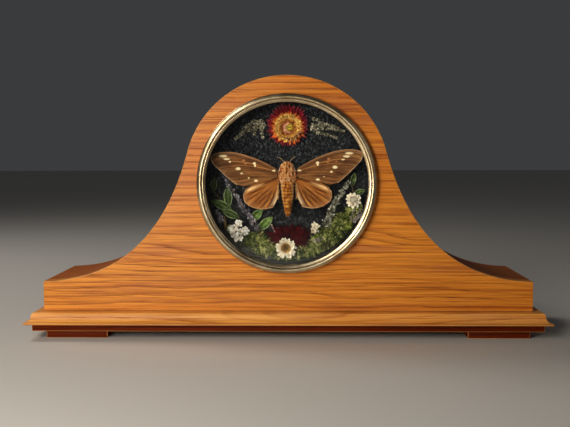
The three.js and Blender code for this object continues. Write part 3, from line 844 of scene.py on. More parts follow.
# %% Thorns, tones and smooth lines
def thorn(name, sides=3, blunt=0.15, bend=0.12):
    """A thin pointed shape of unit size along Z, bent a little: a hair, a bract or a moss leaf."""
    deselect()
    bpy.ops.mesh.primitive_cone_add(vertices=sides, radius1=0.5, radius2=0.5 * blunt, depth=1,
                                    location=(0, 0, 0.5))
    shape = bpy.context.object
    shape.name = name
    shape.data.transform(Matrix.Translation((0, 0, 0.5)))
    start_editing(shape)
    choose_edges(shape, lambda e: abs(e.verts[0].co.z - e.verts[1].co.z) > 0.5)
    bpy.ops.mesh.subdivide(number_cuts=1)
    bpy.ops.object.mode_set(mode="OBJECT")
    for corner in shape.data.vertices:
        swell = 1.25 if 0.3 < corner.co.z < 0.7 else 1
        corner.co = (corner.co.x * swell, corner.co.y * swell + bend * corner.co.z**2, corner.co.z)
    return shape


def tone_of(place):
    return put(place.id_data, "ShaderNodeAttribute", out=2, attribute_name="tone")


def toned(name, shade, *stops, rough=0.8, bumps=0.0):
    """A finish whose colour follows the tone of each copy, rough with fine bumps if wanted."""
    made, shader, place = finish(name, shade, Roughness=rough)
    connect(ramp(tone_of(place), *stops), shader)
    if bumps:
        relief(shader, grain(place, 2500, detail=2), bumps, 0.1)
    return made


def smooth_line(points, count):
    """Evenly spaced points on a smooth line through the given ones."""
    given = np.array(points, float)
    padded = np.vstack([2 * given[0] - given[1], given, 2 * given[-1] - given[-2]])
    fine = []
    for a, b, c, d in zip(padded, padded[1:], padded[2:], padded[3:]):
        for t in np.linspace(0, 1, 12, endpoint=False):
            bend = (2 * a - 5 * b + 4 * c - d) * t * t + (3 * b - a - 3 * c + d) * t**3
            fine.append(0.5 * (2 * b + (c - a) * t + bend))
    fine = np.array(fine + [given[-1]])
    gone = np.r_[0, np.cumsum(np.linalg.norm(np.diff(fine, axis=0), axis=1))]
    wanted = np.linspace(0, gone[-1], count)
    return np.array([np.interp(wanted, gone, fine[:, k]) for k in range(fine.shape[1])]).T

# %% [markdown]
# ## The moth's wings
# Each wing is a sheet stretched between four smooth edges: its root, its front edge, its outer
# margin and its back edge. One share runs from the root to the margin and the other across, so
# the veins follow the first. They stand up as fine ridges, the wing is slightly arched, and the
# margin carries a fringe of short hairs. Spots and bands are colour only, placed on the object.

# %% Wing sheets
FOREWING = {
    "front": [(9, 154.4), (19, 160.2), (31, 165.7), (44, 170), (55, 171.6), (66, 170.6), (70.2, 168.4)],
    "back": [(9, 147.2), (19, 144.4), (31, 141.6), (39.5, 139.5), (46, 141)],
    "margin": [(70.2, 168.4), (69.8, 164.6), (67.4, 160.4), (60.4, 153.4), (53, 146.4), (46, 141)],
}
HINDWING = {
    "front": [(8.8, 145.8), (20, 143.8), (31, 141), (38.4, 137.2)],
    "back": [(8.4, 139.6), (8.6, 134), (9.6, 127.6), (13.6, 119)],
    "margin": [(38.4, 137.2), (41.2, 132), (41.2, 127.4), (39.2, 123.4), (32.4, 119), (23, 117.2),
               (13.6, 119)],
}
FOREWING_VEINS = (0.03, 0.1, 0.2, 0.31, 0.41, 0.5, 0.59, 0.68, 0.78, 0.9)
HINDWING_VEINS = (0.06, 0.2, 0.34, 0.47, 0.6, 0.72, 0.84, 0.94)
VEIN_WIDTH = 0.022  # as a share of the wing
WING_STEPS = 61
FRINGE_HAIRS = 260
MOTH_TILT = 0.019  # its left wings hang a little lower
MOTH_PIVOT_Z = 150


def moth_at(x, z, depth):
    """A place on the moth, which is drawn upright and hangs a little tilted."""
    up, level, slope = z - MOTH_PIVOT_Z, math.cos(MOTH_TILT), math.sin(MOTH_TILT)
    return at(x * level - up * slope, MOTH_PIVOT_Z + x * slope + up * level, depth)


def pick(line, k):
    """A place on a line of the wing, also between two of its points."""
    return np.array([np.interp(k, range(WING_STEPS), line[:, n]) for n in (0, 1)])

# %% Wing rule
def wing_rule(edges, side, depth, veins, arch, ridge):
    """The rule that lays out one wing: a patch between its four edges, with ridges along the veins."""
    front, back, margin = (smooth_line(edges[name], WING_STEPS) for name in ("front", "back", "margin"))
    root = np.linspace(front[0], back[0], WING_STEPS)

    def where(out, down):
        i, j = out * (WING_STEPS - 1), down * (WING_STEPS - 1)
        lengthwise = (1 - down) * pick(front, i) + down * pick(back, i)
        crosswise = (1 - out) * pick(root, j) + out * pick(margin, j)
        front_side, back_side = (1 - out) * front[0] + out * front[-1], (1 - out) * back[0] + out * back[-1]
        x, z = lengthwise + crosswise - ((1 - down) * front_side + down * back_side)
        away = min(abs(down - v) for v in veins)
        raised = ridge * math.exp(-((away / 0.012) ** 2)) * (1 - 0.5 * out)
        hollow = 0.12 * math.sin(out * 3 + down * 9)
        curve = arch * (math.sin(math.pi * min(1, out * 1.05)) * 0.7 + (1 - down) * 0.4)
        return moth_at(side * x, z, depth - raised - curve - hollow)

    return where


def tapered_fringe(name, edges, side, depth, length, seed):
    """Short hairs along a wing's outer margin."""
    chance = random.Random(seed)
    line = smooth_line(edges["margin"], FRINGE_HAIRS)
    places = []
    for i in range(2, FRINGE_HAIRS - 2):
        (x, z), (ax, az) = line[i], line[i + 2] - line[i - 2]
        out = Vector((az, 0, -ax)).normalized()
        if out.x < 0 and edges is FOREWING:
            out = -out
        out = Vector((side * out.x, chance.uniform(-0.25, 0.1), out.z + chance.uniform(-0.25, 0.25)))
        places.append(aimed(moth_at(side * x, z, depth), out, 0.34, length * chance.uniform(0.6, 1.1)))
    return laid_out(name, hair, places, [chance.random() for _ in places])

# %% Wing colours
def ellipse(place, x, z, half_x, half_z):
    """1 inside an ellipse on the object, 0 outside, with a slightly ragged soft edge."""
    tree = place.id_data
    moved = put(tree, "ShaderNodeMapping", Vector=place, Location=(-x * MM, 0, -z * MM))
    shrunk = put(tree, "ShaderNodeMapping", Vector=moved, Scale=(1 / (half_x * MM), 0, 1 / (half_z * MM)))
    ragged = plus(length_of(shrunk), times(grain(place, 700, detail=2), 0.35))
    return ramp(times(ragged, 0.5), (0.3, 1), (0.608, 0), smooth=True)


def united(shares):
    total = shares[0]
    for share in shares[1:]:
        total = worked_out("MAXIMUM", total, share)
    return total


def wing_map(place, scale_out, scale_down, detail=5, shift=0.0):
    """Noise that runs along the sheet's own map, for rays from the root to the margin."""
    tree = place.id_data
    own = put(tree, "ShaderNodeTexCoord", out=2)
    moved = put(tree, "ShaderNodeMapping", Vector=own, Scale=(scale_out, scale_down, 1),
                Location=(shift, shift, 0))
    return put(tree, "ShaderNodeTexNoise", Vector=moved, Scale=1, Detail=detail, Roughness=0.6)


def own_shares(place):
    """The two shares of the sheet's own map."""
    return apart(put(place.id_data, "ShaderNodeTexCoord", out=2))[:2]


def vein_lines(place, veins):
    """1 on each vein and 0 between them."""
    down = own_shares(place)[1]
    return united([ramp(over(distance_from(down, v), VEIN_WIDTH), (0, 1), (1, 0)) for v in veins])

# %% [markdown]
# ## Wing finishes
# Rays run from the root to the margin on the sheet's own map. The forewing is dark brown with
# cream spots and a paler edge; the hindwing is tan with dark rays, a cream streak near its front
# edge and a pale inner edge. Both get dark veins and fine scales.

# %% Forewing finish
def forewing_finish(name, spots, faint):
    made, shader, place = finish(name, "6B4630", Roughness=0.75)
    rays = wing_map(place, 1.6, 23, 5)
    broad = wing_map(place, 2.6, 5, 3, 4.0)
    tone = ramp(rays, (0.36, "402210"), (0.47, "683C1C"), (0.54, "885626"), (0.64, "B07A42"))
    tone = mixed(ramp(broad, (0.38, 0.55), (0.6, 0)), tone, "4A2810")
    out, down = own_shares(place)
    pale_edge = ramp(out, (0.8, 0), (0.97, 0.6), (1, 0.85))
    pale = times(pale_edge, ramp(rays, (0.35, 0.2), (0.6, 1)))
    tone = mixed(pale, tone, "9A6C40")
    tail = times(ramp(down, (0.74, 0), (0.97, 0.75)), ramp(rays, (0.4, 0.25), (0.6, 1)))
    tone = mixed(tail, tone, "8C5E34")
    tone = mixed(ramp(down, (0, 0.85), (0.035, 0.5), (0.07, 0)), tone, "B68657")
    tone = mixed(times(vein_lines(place, FOREWING_VEINS), 0.6), tone, "2A140C")
    tone = mixed(times(united([ellipse(place, *f) for f in faint]), 0.6), tone, "C68350")
    tone = mixed(united([ellipse(place, *s) for s in spots]), tone, "F6E2B2")
    scales = grain(place, 3800, detail=2)
    tone = mixed(ramp(scales, (0.35, 0.3), (0.6, 0)), tone, "3B241A")
    connect(tone, shader)
    relief(shader, plus(scales, times(rays, 1.5)), 0.45, 0.18)
    return made

# %% Hindwing finish
def hindwing_finish(name):
    made, shader, place = finish(name, "A9683A", Roughness=0.75)
    rays = wing_map(place, 1.8, 14, 5, 2.0)
    out, down = own_shares(place)
    tone = ramp(rays, (0.36, "421A04"), (0.47, "7C4212"), (0.56, "9C5E24"), (0.66, "C48C48"))
    middle = times(ramp(out, (0.25, 0), (0.5, 1), (0.72, 0.9), (0.86, 0)),
                   ramp(down, (0.3, 0), (0.55, 1), (0.9, 0.9), (0.96, 0)))
    tone = mixed(times(middle, ramp(rays, (0.36, 0.85), (0.6, 0.1))), tone, "351404")
    tone = mixed(ramp(out, (0.84, 0), (0.95, 0.35), (1, 0.7)), tone, "A87850")
    streak = times(ramp(down, (0.05, 0), (0.09, 1), (0.12, 1), (0.17, 0)),
                   ramp(out, (0.3, 0), (0.62, 0.8), (0.84, 1), (0.92, 0)))
    tone = mixed(times(streak, ramp(rays, (0.42, 0.35), (0.55, 1))), tone, "F1CF98")
    inner = times(ramp(down, (0.86, 0), (0.96, 1)), ramp(out, (0.2, 0.4), (0.4, 1), (0.8, 0.7), (0.95, 0)))
    tone = mixed(inner, tone, "E8C79A")
    tone = mixed(times(vein_lines(place, HINDWING_VEINS), 0.45), tone, "4E240E")
    scales = grain(place, 3800, detail=2)
    tone = mixed(ramp(scales, (0.35, 0.25), (0.6, 0)), tone, "6A3A1C")
    connect(tone, shader)
    relief(shader, plus(scales, times(rays, 1.5)), 0.45, 0.18)
    return made

# %% Spots
SPOTS = {  # the cream spots: x, z, half width and half height
    "right": [(57.7, 169.1, 4.7, 1.35), (55.2, 166.1, 4.1, 1.3), (51.9, 163.2, 1.9, 0.8),
              (44.5, 156.2, 2.9, 1.9), (41.2, 151.9, 1.5, 1.1), (34.3, 147.4, 0.9, 0.7),
              (28.5, 144.8, 2.3, 1.3), (28.2, 160.4, 2.0, 1.4), (28.4, 158.8, 1.1, 1.6),
              (11.4, 153.2, 2.4, 1.0)],
    "left": [(-59.4, 166.7, 4.6, 1.5), (-56.2, 163.9, 3.8, 1.1), (-53.2, 161.4, 1.4, 1.0),
             (-45.5, 154.9, 2.9, 1.7), (-42.3, 150.6, 1.7, 1.0), (-35.7, 146.2, 1.1, 0.8),
             (-28.9, 143.7, 2.2, 1.4), (-30.4, 159.8, 1.7, 1.4), (-29.8, 157.8, 1.0, 1.6),
             (-12.2, 153.1, 1.9, 1.1)],
}
FAINT = {
    "right": [(38.7, 163.9, 2.0, 1.2), (37.7, 160.9, 1.4, 1.1), (46, 161.6, 1.6, 0.6)],
    "left": [(-40.4, 162.6, 1.7, 1.2), (-38.6, 159.6, 1.3, 1.1)],
}

# %% Wings
hair = thorn("hair")
fringe_fur = toned("wing_fringe", "B08A66", (0, "8A6040"), (1, "D0AC80"), rough=0.85)
for side_name, side in (("left", -1), ("right", 1)):
    forewing_scales = forewing_finish(f"forewing_{side_name}_scales", SPOTS[side_name], FAINT[side_name])
    hindwing_scales = hindwing_finish(f"hindwing_{side_name}_scales")
    for kind, edges, veins, scales, depth, arch, ridge, steps in (
            ("forewing", FOREWING, FOREWING_VEINS, forewing_scales, 18.5, 0.7, 0.16, (60, 110)),
            ("hindwing", HINDWING, HINDWING_VEINS, hindwing_scales, 19.7, 0.5, 0.14, (50, 90))):
        rule = wing_rule(edges, side, depth, veins, arch, ridge)
        wing = thicken(sheet(f"{kind}_{side_name}_sheet", *steps, rule), 0.22, side)
        settle(wing, kind, scales, stands_for=[f"{kind}_{side_name}"], smooth=60)
    for kind, edges, depth, length, seed in (
            ("forewing", FOREWING, 18.4, 1.3, 11),
            ("hindwing", HINDWING, 19.6, 1.2, 21)):
        fringe = tapered_fringe(f"{kind}_{side_name}_fringe", edges, side, depth, length, seed + side)
        settle(fringe, kind, fringe_fur, smooth=0)

# %% [markdown]
# ## The moth's body
# Under the fur the body is a ball shape drawn to level sections: head, thick thorax, waist and
# tapering belly. The fur is a few thousand fine hairs that lean back along the body, long on the
# thorax and short on the belly. Skin and fur share one finish, so that the cream lines of the
# thorax and the belly's rings run through both.

# %% Body skin
SECTIONS = [  # height, half width, half depth
    (162.2, 0.1, 0.1), (161.2, 2.6, 2.2), (158.8, 4.6, 3.4), (156, 6.0, 4.1), (152.5, 7.2, 4.6),
    (148, 7.3, 4.6), (144, 6.5, 4.5), (141.8, 5.6, 4.2), (138, 5.9, 4.2), (130, 5.2, 4.0),
    (123, 4.0, 3.4), (117, 3.0, 2.7), (112.6, 1.8, 1.7), (111, 0.1, 0.1)]
section_z, section_wide, section_deep = np.array(SECTIONS[::-1]).T
BODY_TOP, BODY_END = section_z[-1], section_z[0]
BODY_DEPTH = 18.3
BELLY_TOP = 140
RING_START, RING_STEP = 112, 3.1  # of the belly's rings


def body_place(z, angle, grow=0.0):
    """A place on the body's skin at a height and an angle: 0 is the right, a quarter turn the front."""
    wide = np.interp(z, section_z, section_wide) + grow
    deep = np.interp(z, section_z, section_deep) + grow
    ringed = 1 + (0.04 * math.cos((z - RING_START) * 2 * math.pi / RING_STEP) if z < BELLY_TOP else 0)
    return moth_at(wide * ringed * math.cos(angle), z, BODY_DEPTH - deep * ringed * math.sin(angle))


deselect()
bpy.ops.mesh.primitive_uv_sphere_add(segments=28, ring_count=60, radius=1)
body_skin = bpy.context.object
body_skin.name = "moth_body_skin"
for corner in body_skin.data.vertices:
    share = math.acos(max(-1, min(1, corner.co.z))) / math.pi
    height = BODY_TOP - (BODY_TOP - BODY_END) * share
    corner.co = body_place(height, math.atan2(-corner.co.y, corner.co.x))

# %% Fur finish
CREAM_LINES = ((1.5, 0.3), (4.3, 0.34))  # how far off the middle, and half their width
CREAM_FROM_Z, SLIT_FROM_Z = 147, 154
ROOT_X, ROOT_Z = 6.6, 154.6  # where the forewings' white roots meet the body
LOW_LINE_Z = 146.2
CHEST_FROM_Z = 141.6

fur, fur_shader, fur_place = finish("moth_fur", "B5652A", Roughness=0.85)
fur_z = over(apart(fur_place)[2], MM)
fur_lean = times(minus(fur_z, MOTH_PIVOT_Z), MOTH_TILT)
fur_x = worked_out("ABSOLUTE", plus(over(apart(fur_place)[0], MM), fur_lean))  # off the body's middle
fleck = grain(fur_place, 620, (1, 1, 0.6), detail=5)
wander = times(minus(grain(fur_place, 150, detail=3), 0.5), 7.0)


def band(value, centre, half):
    """1 where a value is near a centre, falling off to 0."""
    return ramp(over(distance_from(value, centre), half * 2), (0.3, 1), (0.62, 0))


def above(value, edge, soft):
    """1 above an edge and 0 below it, with a soft step."""
    return ramp(plus(over(minus(value, edge), soft), 0.5), (0, 0), (1, 1))


belly = ramp(fleck, (0.37, "6A2E06"), (0.46, "AA5A10"), (0.53, "CC7E20"), (0.62, "F4B458"))
step = worked_out("FRACT", over(minus(plus(fur_z, times(wander, 0.35)), RING_START), RING_STEP))
ring_dark = ramp(step, (0, 0.75), (0.2, 0.55), (0.42, 0), (0.8, 0), (1, 0.75))
belly = mixed(ring_dark, belly, "6E3413")
belly = mixed(times(above(fur_x, 4.0, 2.0), 0.55), belly, "E3B47C")
chest = ramp(fleck, (0.37, "541402"), (0.45, "BC4C08"), (0.53, "F28A1E"), (0.62, "FFC878"))
curling = grain(fur_place, 250, (1, 1, 0.8), (3, 1, 4), detail=1)
chest = mixed(ramp(curling, (0.41, 0), (0.44, 0.95), (0.46, 0.95), (0.49, 0)), chest, "FFDEA8")
chest = mixed(ramp(curling, (0.53, 0), (0.56, 1), (0.59, 1), (0.63, 0)), chest, "340C02")
cream_lines = united([band(plus(fur_x, wander), x, half) for x, half in CREAM_LINES])
cream_lines = times(cream_lines, above(fur_z, CREAM_FROM_Z, 3.0))
chest = mixed(times(cream_lines, 0.7), chest, "F0C890")
slit = times(band(fur_x, 0, 0.55), above(fur_z, SLIT_FROM_Z, 2.0))
chest = mixed(times(slit, 0.8), chest, "3A1A0C")
white_root = times(above(fur_x, ROOT_X, 1.0), band(fur_z, ROOT_Z, 1.8))
chest = mixed(white_root, chest, "F7E8CC")
low_line = times(band(plus(fur_z, wander), LOW_LINE_Z, 0.8), minus(1.0, above(fur_x, 5.0, 1.0)))
chest = mixed(times(low_line, 0.6), chest, "F3D3A6")
whole = mixed(above(fur_z, CHEST_FROM_Z, 1.6), belly, chest)
whole = mixed(ramp(tone_of(fur_place), (0, 0.4), (0.55, 0)), whole, "4A1F0C")
connect(whole, fur_shader)
relief(fur_shader, fleck, 0.7, 0.4)
settle(body_skin, "moth_fur", fur, stands_for=["moth_body"], smooth=60)

# %% [markdown]
# ## Fur
# Thousands of fine hairs stand on the body. They are longer and more upright on the thorax, and
# shorter and lying down on the abdomen, and a pale tuft stands where the wings join on each side.

# %% Fur
HAIRS, TUFT_HAIRS = 4200, 110
HAIR_WIDTH = 0.3
WAIST_Z = 142

chance = random.Random(5)
places, tones = [], []
for _ in range(HAIRS):
    z = chance.uniform(111.4, 161.9)
    angle = chance.uniform(-0.35, math.pi + 0.35)
    if z < WAIST_Z and chance.random() < 0.35:
        continue
    base = body_place(z, angle, -0.25)
    outward = (body_place(z, angle, 1) - base).normalized()
    if z > WAIST_Z:
        lean = outward * 0.75 + Vector((chance.uniform(-0.45, 0.45), 0, -0.55 + chance.uniform(-0.35, 0.35)))
        length = chance.uniform(1.2, 2.5)
    else:
        lean = outward * 0.32 + Vector((chance.uniform(-0.2, 0.2), 0, -1))
        length = chance.uniform(0.9, 1.8)
    places.append(aimed(base, lean, HAIR_WIDTH, length, chance.uniform(0, 6)))
    tones.append(chance.random())
for side in (-1, 1):
    for _ in range(TUFT_HAIRS):  # pale tufts where the wings join, and along the hindwings' inner edge
        z = chance.uniform(128, 147)
        base = moth_at(side * (8.4 + chance.uniform(-0.8, 1.2)), z, 18.6)
        lean = Vector((side * chance.uniform(-0.1, 0.5), -0.25, -1))
        places.append(aimed(base, lean, HAIR_WIDTH, chance.uniform(1.6, 3.0), chance.uniform(0, 6)))
        tones.append(0.9)
settle(laid_out("moth_fur_hairs", hair, places, tones), "moth_fur", fur, smooth=0)

# %% Feelers and pin
def stem(name, points, radius, tip=0.6, sides=4):
    """A round stem along a smooth line of places, thinner at its tip."""
    data = bpy.data.curves.new(name, "CURVE")
    data.dimensions = "3D"
    data.bevel_depth = radius * MM
    data.bevel_resolution = sides - 2
    data.use_fill_caps = True
    count = max(6, len(points) * 4)
    line = smooth_line([tuple(p) for p in points], count)
    spline = data.splines.new("POLY")
    spline.points.add(count - 1)
    for i, place in enumerate(line):
        spline.points[i].co = (*place, 1)
        spline.points[i].radius = 1 + (tip - 1) * i / (count - 1)
    make_active(show(name, data))
    bpy.ops.object.convert(target="MESH")
    piece = bpy.context.object
    close_up(piece)
    return piece


feeler_tan, feeler_shader, feeler_place = finish("feeler_tan", "A98A5A", Roughness=0.7)
feeler_bands = grain(feeler_place, 1600, detail=2)
connect(ramp(feeler_bands, (0.35, "6E5030"), (0.6, "BFA070")), feeler_shader)
FEELER = ((2.2, 159.6, 17.0), (4.0, 163.0, 16.4), (6.6, 165.2, 16.2), (8.4, 165.6, 16.4))
feelers = []
for side in (-1, 1):
    route = [moth_at(side * x, z, depth) for x, z, depth in FEELER]
    feelers.append(stem(f"feeler_{side}", route, 0.34, 0.4))
settle(joined("moth_feelers", feelers), "moth_fur", feeler_tan, smooth=60)

steel, steel_shader, steel_place = finish("pin_steel", "8E8E8C", Metallic=1, Roughness=0.3)
steel_wear = grain(steel_place, 900, detail=3)
connect(ramp(steel_wear, (0.3, 0.22), (0.7, 0.42)), steel_shader, "Roughness")
frame["nodes"]["moth_pin"].material_slots[0].material = steel
print("moth pieces:", len([o for o in bpy.data.objects if "wing" in o.name or "moth" in o.name]))

# %% [markdown]
# ## Papery petals
# A petal is a small sheet drawn in to a point or a round, cupped across and curled along. One of
# each kind is modelled, and a flower is its petals laid out in rings round an axis. Every ring has
# its own lift: the outer petals lie flat, the inner ones stand up and close over the middle.

# %% Petal helpers
FRONT = Vector((0, -1, 0))  # towards the viewer
PETAL_THICKNESS = 0.03  # of its length


def petal(name, widest, pointed, cup, curl, across=4, along=5):
    """A unit petal along Y, its face towards Z: where it is widest, how pointed, cupped and curled."""
    def where(u, v):
        side = u * 2 - 1
        swell = math.sin(math.pi * min(1, v / (2 * widest))) if v < widest else 1
        fall = max(0.0, (v - widest) / (1 - widest))
        half = 0.5 * (0.4 + 0.6 * swell) * (1 - fall**pointed) ** (1.0 if pointed < 2 else 0.6)
        return Vector((side * half, v, cup * side * side * half * 2 + curl * v * v))

    return thicken(sheet(name, across, along, where), PETAL_THICKNESS / MM, 0)


def petal_place(centre, axis, angle, start, length, width, lift, twist=0.0, squash=1.0):
    """Where a petal goes: from a centre, round an axis, starting so far out and lifted off the flat."""
    axis = Vector(axis).normalized()
    level = Vector((1, 0, 0)) - axis * axis.x
    level.normalize()
    out = Matrix.Rotation(angle, 3, axis) @ level
    length_way = out * math.cos(lift) + axis * math.sin(lift)
    face = axis * math.cos(lift) - out * math.sin(lift)
    wide = length_way.cross(face)
    turn = Matrix((wide, length_way, face)).transposed().to_4x4()
    turn = turn @ Matrix.Rotation(twist, 4, "Y")
    size = Matrix.Diagonal((width * MM, length * MM, length * MM, 1))
    offset = Matrix.Diagonal((1, 1, squash, 1)) @ (Matrix.Translation(out * start * MM) @ turn @ size)
    return Matrix.Translation(centre) @ offset


def ring_of_petals(centre, axis, count, start, length, width, lift, chance, loose=0.15, squash=1.0,
                   turn=0.0):
    """The places of a ring of petals. Each one's measures vary a little, as loose as is said."""
    places = []
    for i in range(count):
        angle = turn + 2 * math.pi * (i + chance.uniform(-loose, loose) * 2) / count
        measures = [
            start * chance.uniform(0.93, 1.07),
            length * chance.uniform(1 - loose, 1 + loose),
            width * chance.uniform(0.85, 1.15),
            lift + chance.uniform(-loose, loose),
            chance.uniform(-loose, loose) * 2]
        places.append(petal_place(centre, axis, angle, *measures, squash))
    return places

# %% Petal finish
def petal_finish(name, *stops, dark="2A0A08", streaks=0.4, rough=0.6, shine=0.08):
    """A papery petal: colours from base to tip on its own map, fine ribs along it, a tone for each."""
    made, shader, place = finish(name, Roughness=rough, Specular_IOR_Level=shine)
    tip = own_shares(place)[1]
    wobble = times(minus(grain(place, 420, detail=3), 0.5), 0.35)
    base = ramp(plus(tip, wobble), *stops)
    ribs = wing_map(place, 30, 2.5, 2)
    base = mixed(times(ramp(ribs, (0.4, 1), (0.58, 0)), streaks), base, dark)
    base = mixed(ramp(tone_of(place), (0, 0.45), (0.5, 0)), base, dark)
    connect(base, shader)
    relief(shader, ribs, 0.4, 0.12)
    return made


def tone_list(places, chance):
    return [chance.random() for _ in places]

# %% [markdown]
# ## The strawflower
# It faces the viewer. Its outer bracts are narrow, dry and dark crimson; the next turn from gold
# at the base to coral at the tip; then comes a golden ring that stands up as a cup, and in the cup
# a few brownish pink bracts close over the left of a small yellow disc of florets.

# %% Strawflower
chance = random.Random(31)
sharp_petal = petal("sharp_petal", 0.35, 1.3, 0.25, 0.12)
round_petal = petal("round_petal", 0.55, 2.6, 0.35, 0.1)
closing_petal = petal("closing_petal", 0.5, 2.2, 0.4, 0.45)
FLOWER = (0.3, 195.5)
HEART = (0.9, 192.9)  # it lies a little lower than the middle of the rim
# The two dark colours below are painted shade between the bracts, mixed into the ribs and into darker
# bracts.
FRINGE_GAP_SHADE = "340A0A"  # the colour between the bracts
GOLDEN_GAP_SHADE = "8A4414"
flower_rings = [
    ("fringe", FLOWER, sharp_petal, (70, 11.0, 9.2, 1.9, 0.04), 28.5, FRINGE_GAP_SHADE,
     ((0, "A01828"), (0.5, "A01830"), (0.8, "C8485A"), (1, "E8808C"))),
    ("fringe_low", FLOWER, sharp_petal, (60, 9.0, 9.4, 2.3, 0.18), 28.0, FRINGE_GAP_SHADE,
     ((0, "E8501C"), (0.4, "C02422"), (0.8, "A8202E"), (1, "C84858"))),
    ("coral", HEART, sharp_petal, (36, 8.2, 8.4, 4.2, 0.3), 27.0, GOLDEN_GAP_SHADE,
     ((0.1, "F8C050"), (0.6, "FA9C44"), (1, "DC5432"))),
    ("golden", HEART, round_petal, (27, 8.6, 5.8, 3.7, 0.45), 25.6, GOLDEN_GAP_SHADE,
     ((0.1, "F4B048"), (0.6, "FFDC78"), (1, "FFB054"))),
    ("cup", HEART, round_petal, (22, 6.8, 4.6, 3.3, 0.75), 26.0, GOLDEN_GAP_SHADE,
     ((0.1, "A85A20"), (0.5, "F0AC40"), (0.9, "FFDC80"))),
    ("bowl", HEART, round_petal, (24, 3.0, 5.6, 3.0, 0.5), 26.8, GOLDEN_GAP_SHADE,
     ((0.1, "5A2A10"), (0.6, "A85C28"), (1, "E0A050"))),
]
for ring_name, middle, shape, ring, depth, gap_shade, stops in flower_rings:
    places = ring_of_petals(at(*middle, depth), FRONT, *ring, chance, 0.16)
    piece = laid_out(f"strawflower_{ring_name}", shape, places, tone_list(places, chance))
    bract = petal_finish(f"strawflower_{ring_name}_petal", *stops, dark=gap_shade)
    settle(piece, "strawflower", bract, smooth=60)
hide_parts("strawflower")

# %% Strawflower's middle bracts
CLOSING_RANGES = ((6.0, 7.6), (3.8, 5.2), (3.0, 4.2), (1.9, 2.4), (-0.3, 0.3))  # start to twist
inner_places = []
for i in range(15):  # the bracts that close over the left of the disc
    angle = math.radians(80 + 14 * i + chance.uniform(-6, 6))
    measures = [chance.uniform(*ends) for ends in CLOSING_RANGES]
    inner_places.append(petal_place(at(*HEART, 25.6), FRONT, angle, *measures))
for degrees in (-14, -34, -56, -78, -100):  # the loose coral ones at the lower right
    angle, lift = math.radians(degrees), chance.uniform(0.6, 1.0)
    inner_places.append(petal_place(at(*HEART, 25.4), FRONT, angle, 9.6, 6.6, 4.2, lift, 0.2))
inner_tones = [0.15 + 0.85 * chance.random() for _ in inner_places]
inner = laid_out("strawflower_inner", closing_petal, inner_places, inner_tones)
inner_stops = (0.1, "5A2410"), (0.45, "8E4A2E"), (0.8, "C8805E"), (0.98, "F8C8A0")
inner_petal = petal_finish("strawflower_inner_petal", *inner_stops, dark="42180A")
settle(inner, "strawflower", inner_petal, smooth=60)

# %% Strawflower's disc and teeth
GOLDEN_TURN = 2.39996  # the angle between one seed of a flower's disc and the next
FLORETS, DISC_REACH = 150, 3.9

floret = thorn("floret", 4, 0.6, 0.05)
disc_places, disc_tones = [], []
for i in range(FLORETS):
    share = math.sqrt((i + 0.5) / FLORETS)
    reach, turn = DISC_REACH * share, i * GOLDEN_TURN
    domed = 25.4 - 1.2 * (1 - share**2)
    where = at(HEART[0] + 1.4 + reach * math.cos(turn), HEART[1] + 0.6 + reach * math.sin(turn), domed)
    lean = (0.16 * share * math.cos(turn), -1, 0.3 * math.sin(turn))
    disc_places.append(aimed(where, lean, 0.55, 1.5))
    disc_tones.append(1 - share)
disc_stops = (0, "8A5A16"), (0.35, "DCB030"), (0.8, "F4DC54")
disc_finish = toned("floret_yellow", "808080", *disc_stops, rough=0.7, bumps=0.4)
settle(laid_out("strawflower_disc", floret, disc_places, disc_tones), "strawflower", disc_finish, smooth=0)

# The teeth are dark brown florets, and their dark also paints the shade in the gap between the golden ring
# and the cup.
TEETH = 54  # the dark teeth between the golden ring and the cup
teeth = []
for i in range(TEETH):
    turn = 2 * math.pi * i / TEETH
    place = at(HEART[0] + 10.2 * math.cos(turn), HEART[1] + 0.4 + 10.0 * math.sin(turn), 22.9)
    teeth.append(aimed(place, (math.cos(turn), -0.7, math.sin(turn)), 0.5, chance.uniform(0.8, 1.5)))
tooth_finish = toned("tooth_brown", "3A1A0A", (0, "1C0C06"), (1, "5A2A10"))
tooth_piece = laid_out("strawflower_teeth", floret, teeth, tone_list(teeth, chance))
settle(tooth_piece, "strawflower", tooth_finish, smooth=0)

# %% [markdown]
# ## White everlastings
# These are small papery heads. The one in the middle is open: rings of round white bracts stand
# round a brown and ochre heart. The one on the right and the cluster on the left keep theirs
# closed over the middle, and the small one is half closed. Every head has an axis of its own.

# %% Everlastings
chance = random.Random(77)
white_stops = (0, "B48C54"), (0.3, "EEDFC0"), (1, "FFF8E8")
white_petal = petal_finish("everlasting_bract", *white_stops, dark="A88E68", streaks=0.25, rough=0.55)
# The cluster lies in the rim's shadow, so its bracts get a whiter copy of the everlasting finish: painted
# light.
cluster_painted_light_stops = (0, "C09868"), (0.3, "F8F0E0"), (1, "FFFDF8")
cluster_painted_light_petal = petal_finish("cluster_bract", *cluster_painted_light_stops, dark="9C845E", streaks=0.25, rough=0.55)


def everlasting(name, centre, axis, rings, loose=0.12, shape=round_petal):
    """A papery head: each ring is how many, start, length, width, lift and how far forward."""
    places = []
    for *ring, forward in rings:
        middle = at(*centre) + Vector(axis).normalized() * forward * MM
        turn = chance.uniform(0, 1)
        places += ring_of_petals(middle, axis, *ring, chance, loose, turn=turn)
    return laid_out(name, shape, places, [0.6 + 0.4 * chance.random() for _ in places])

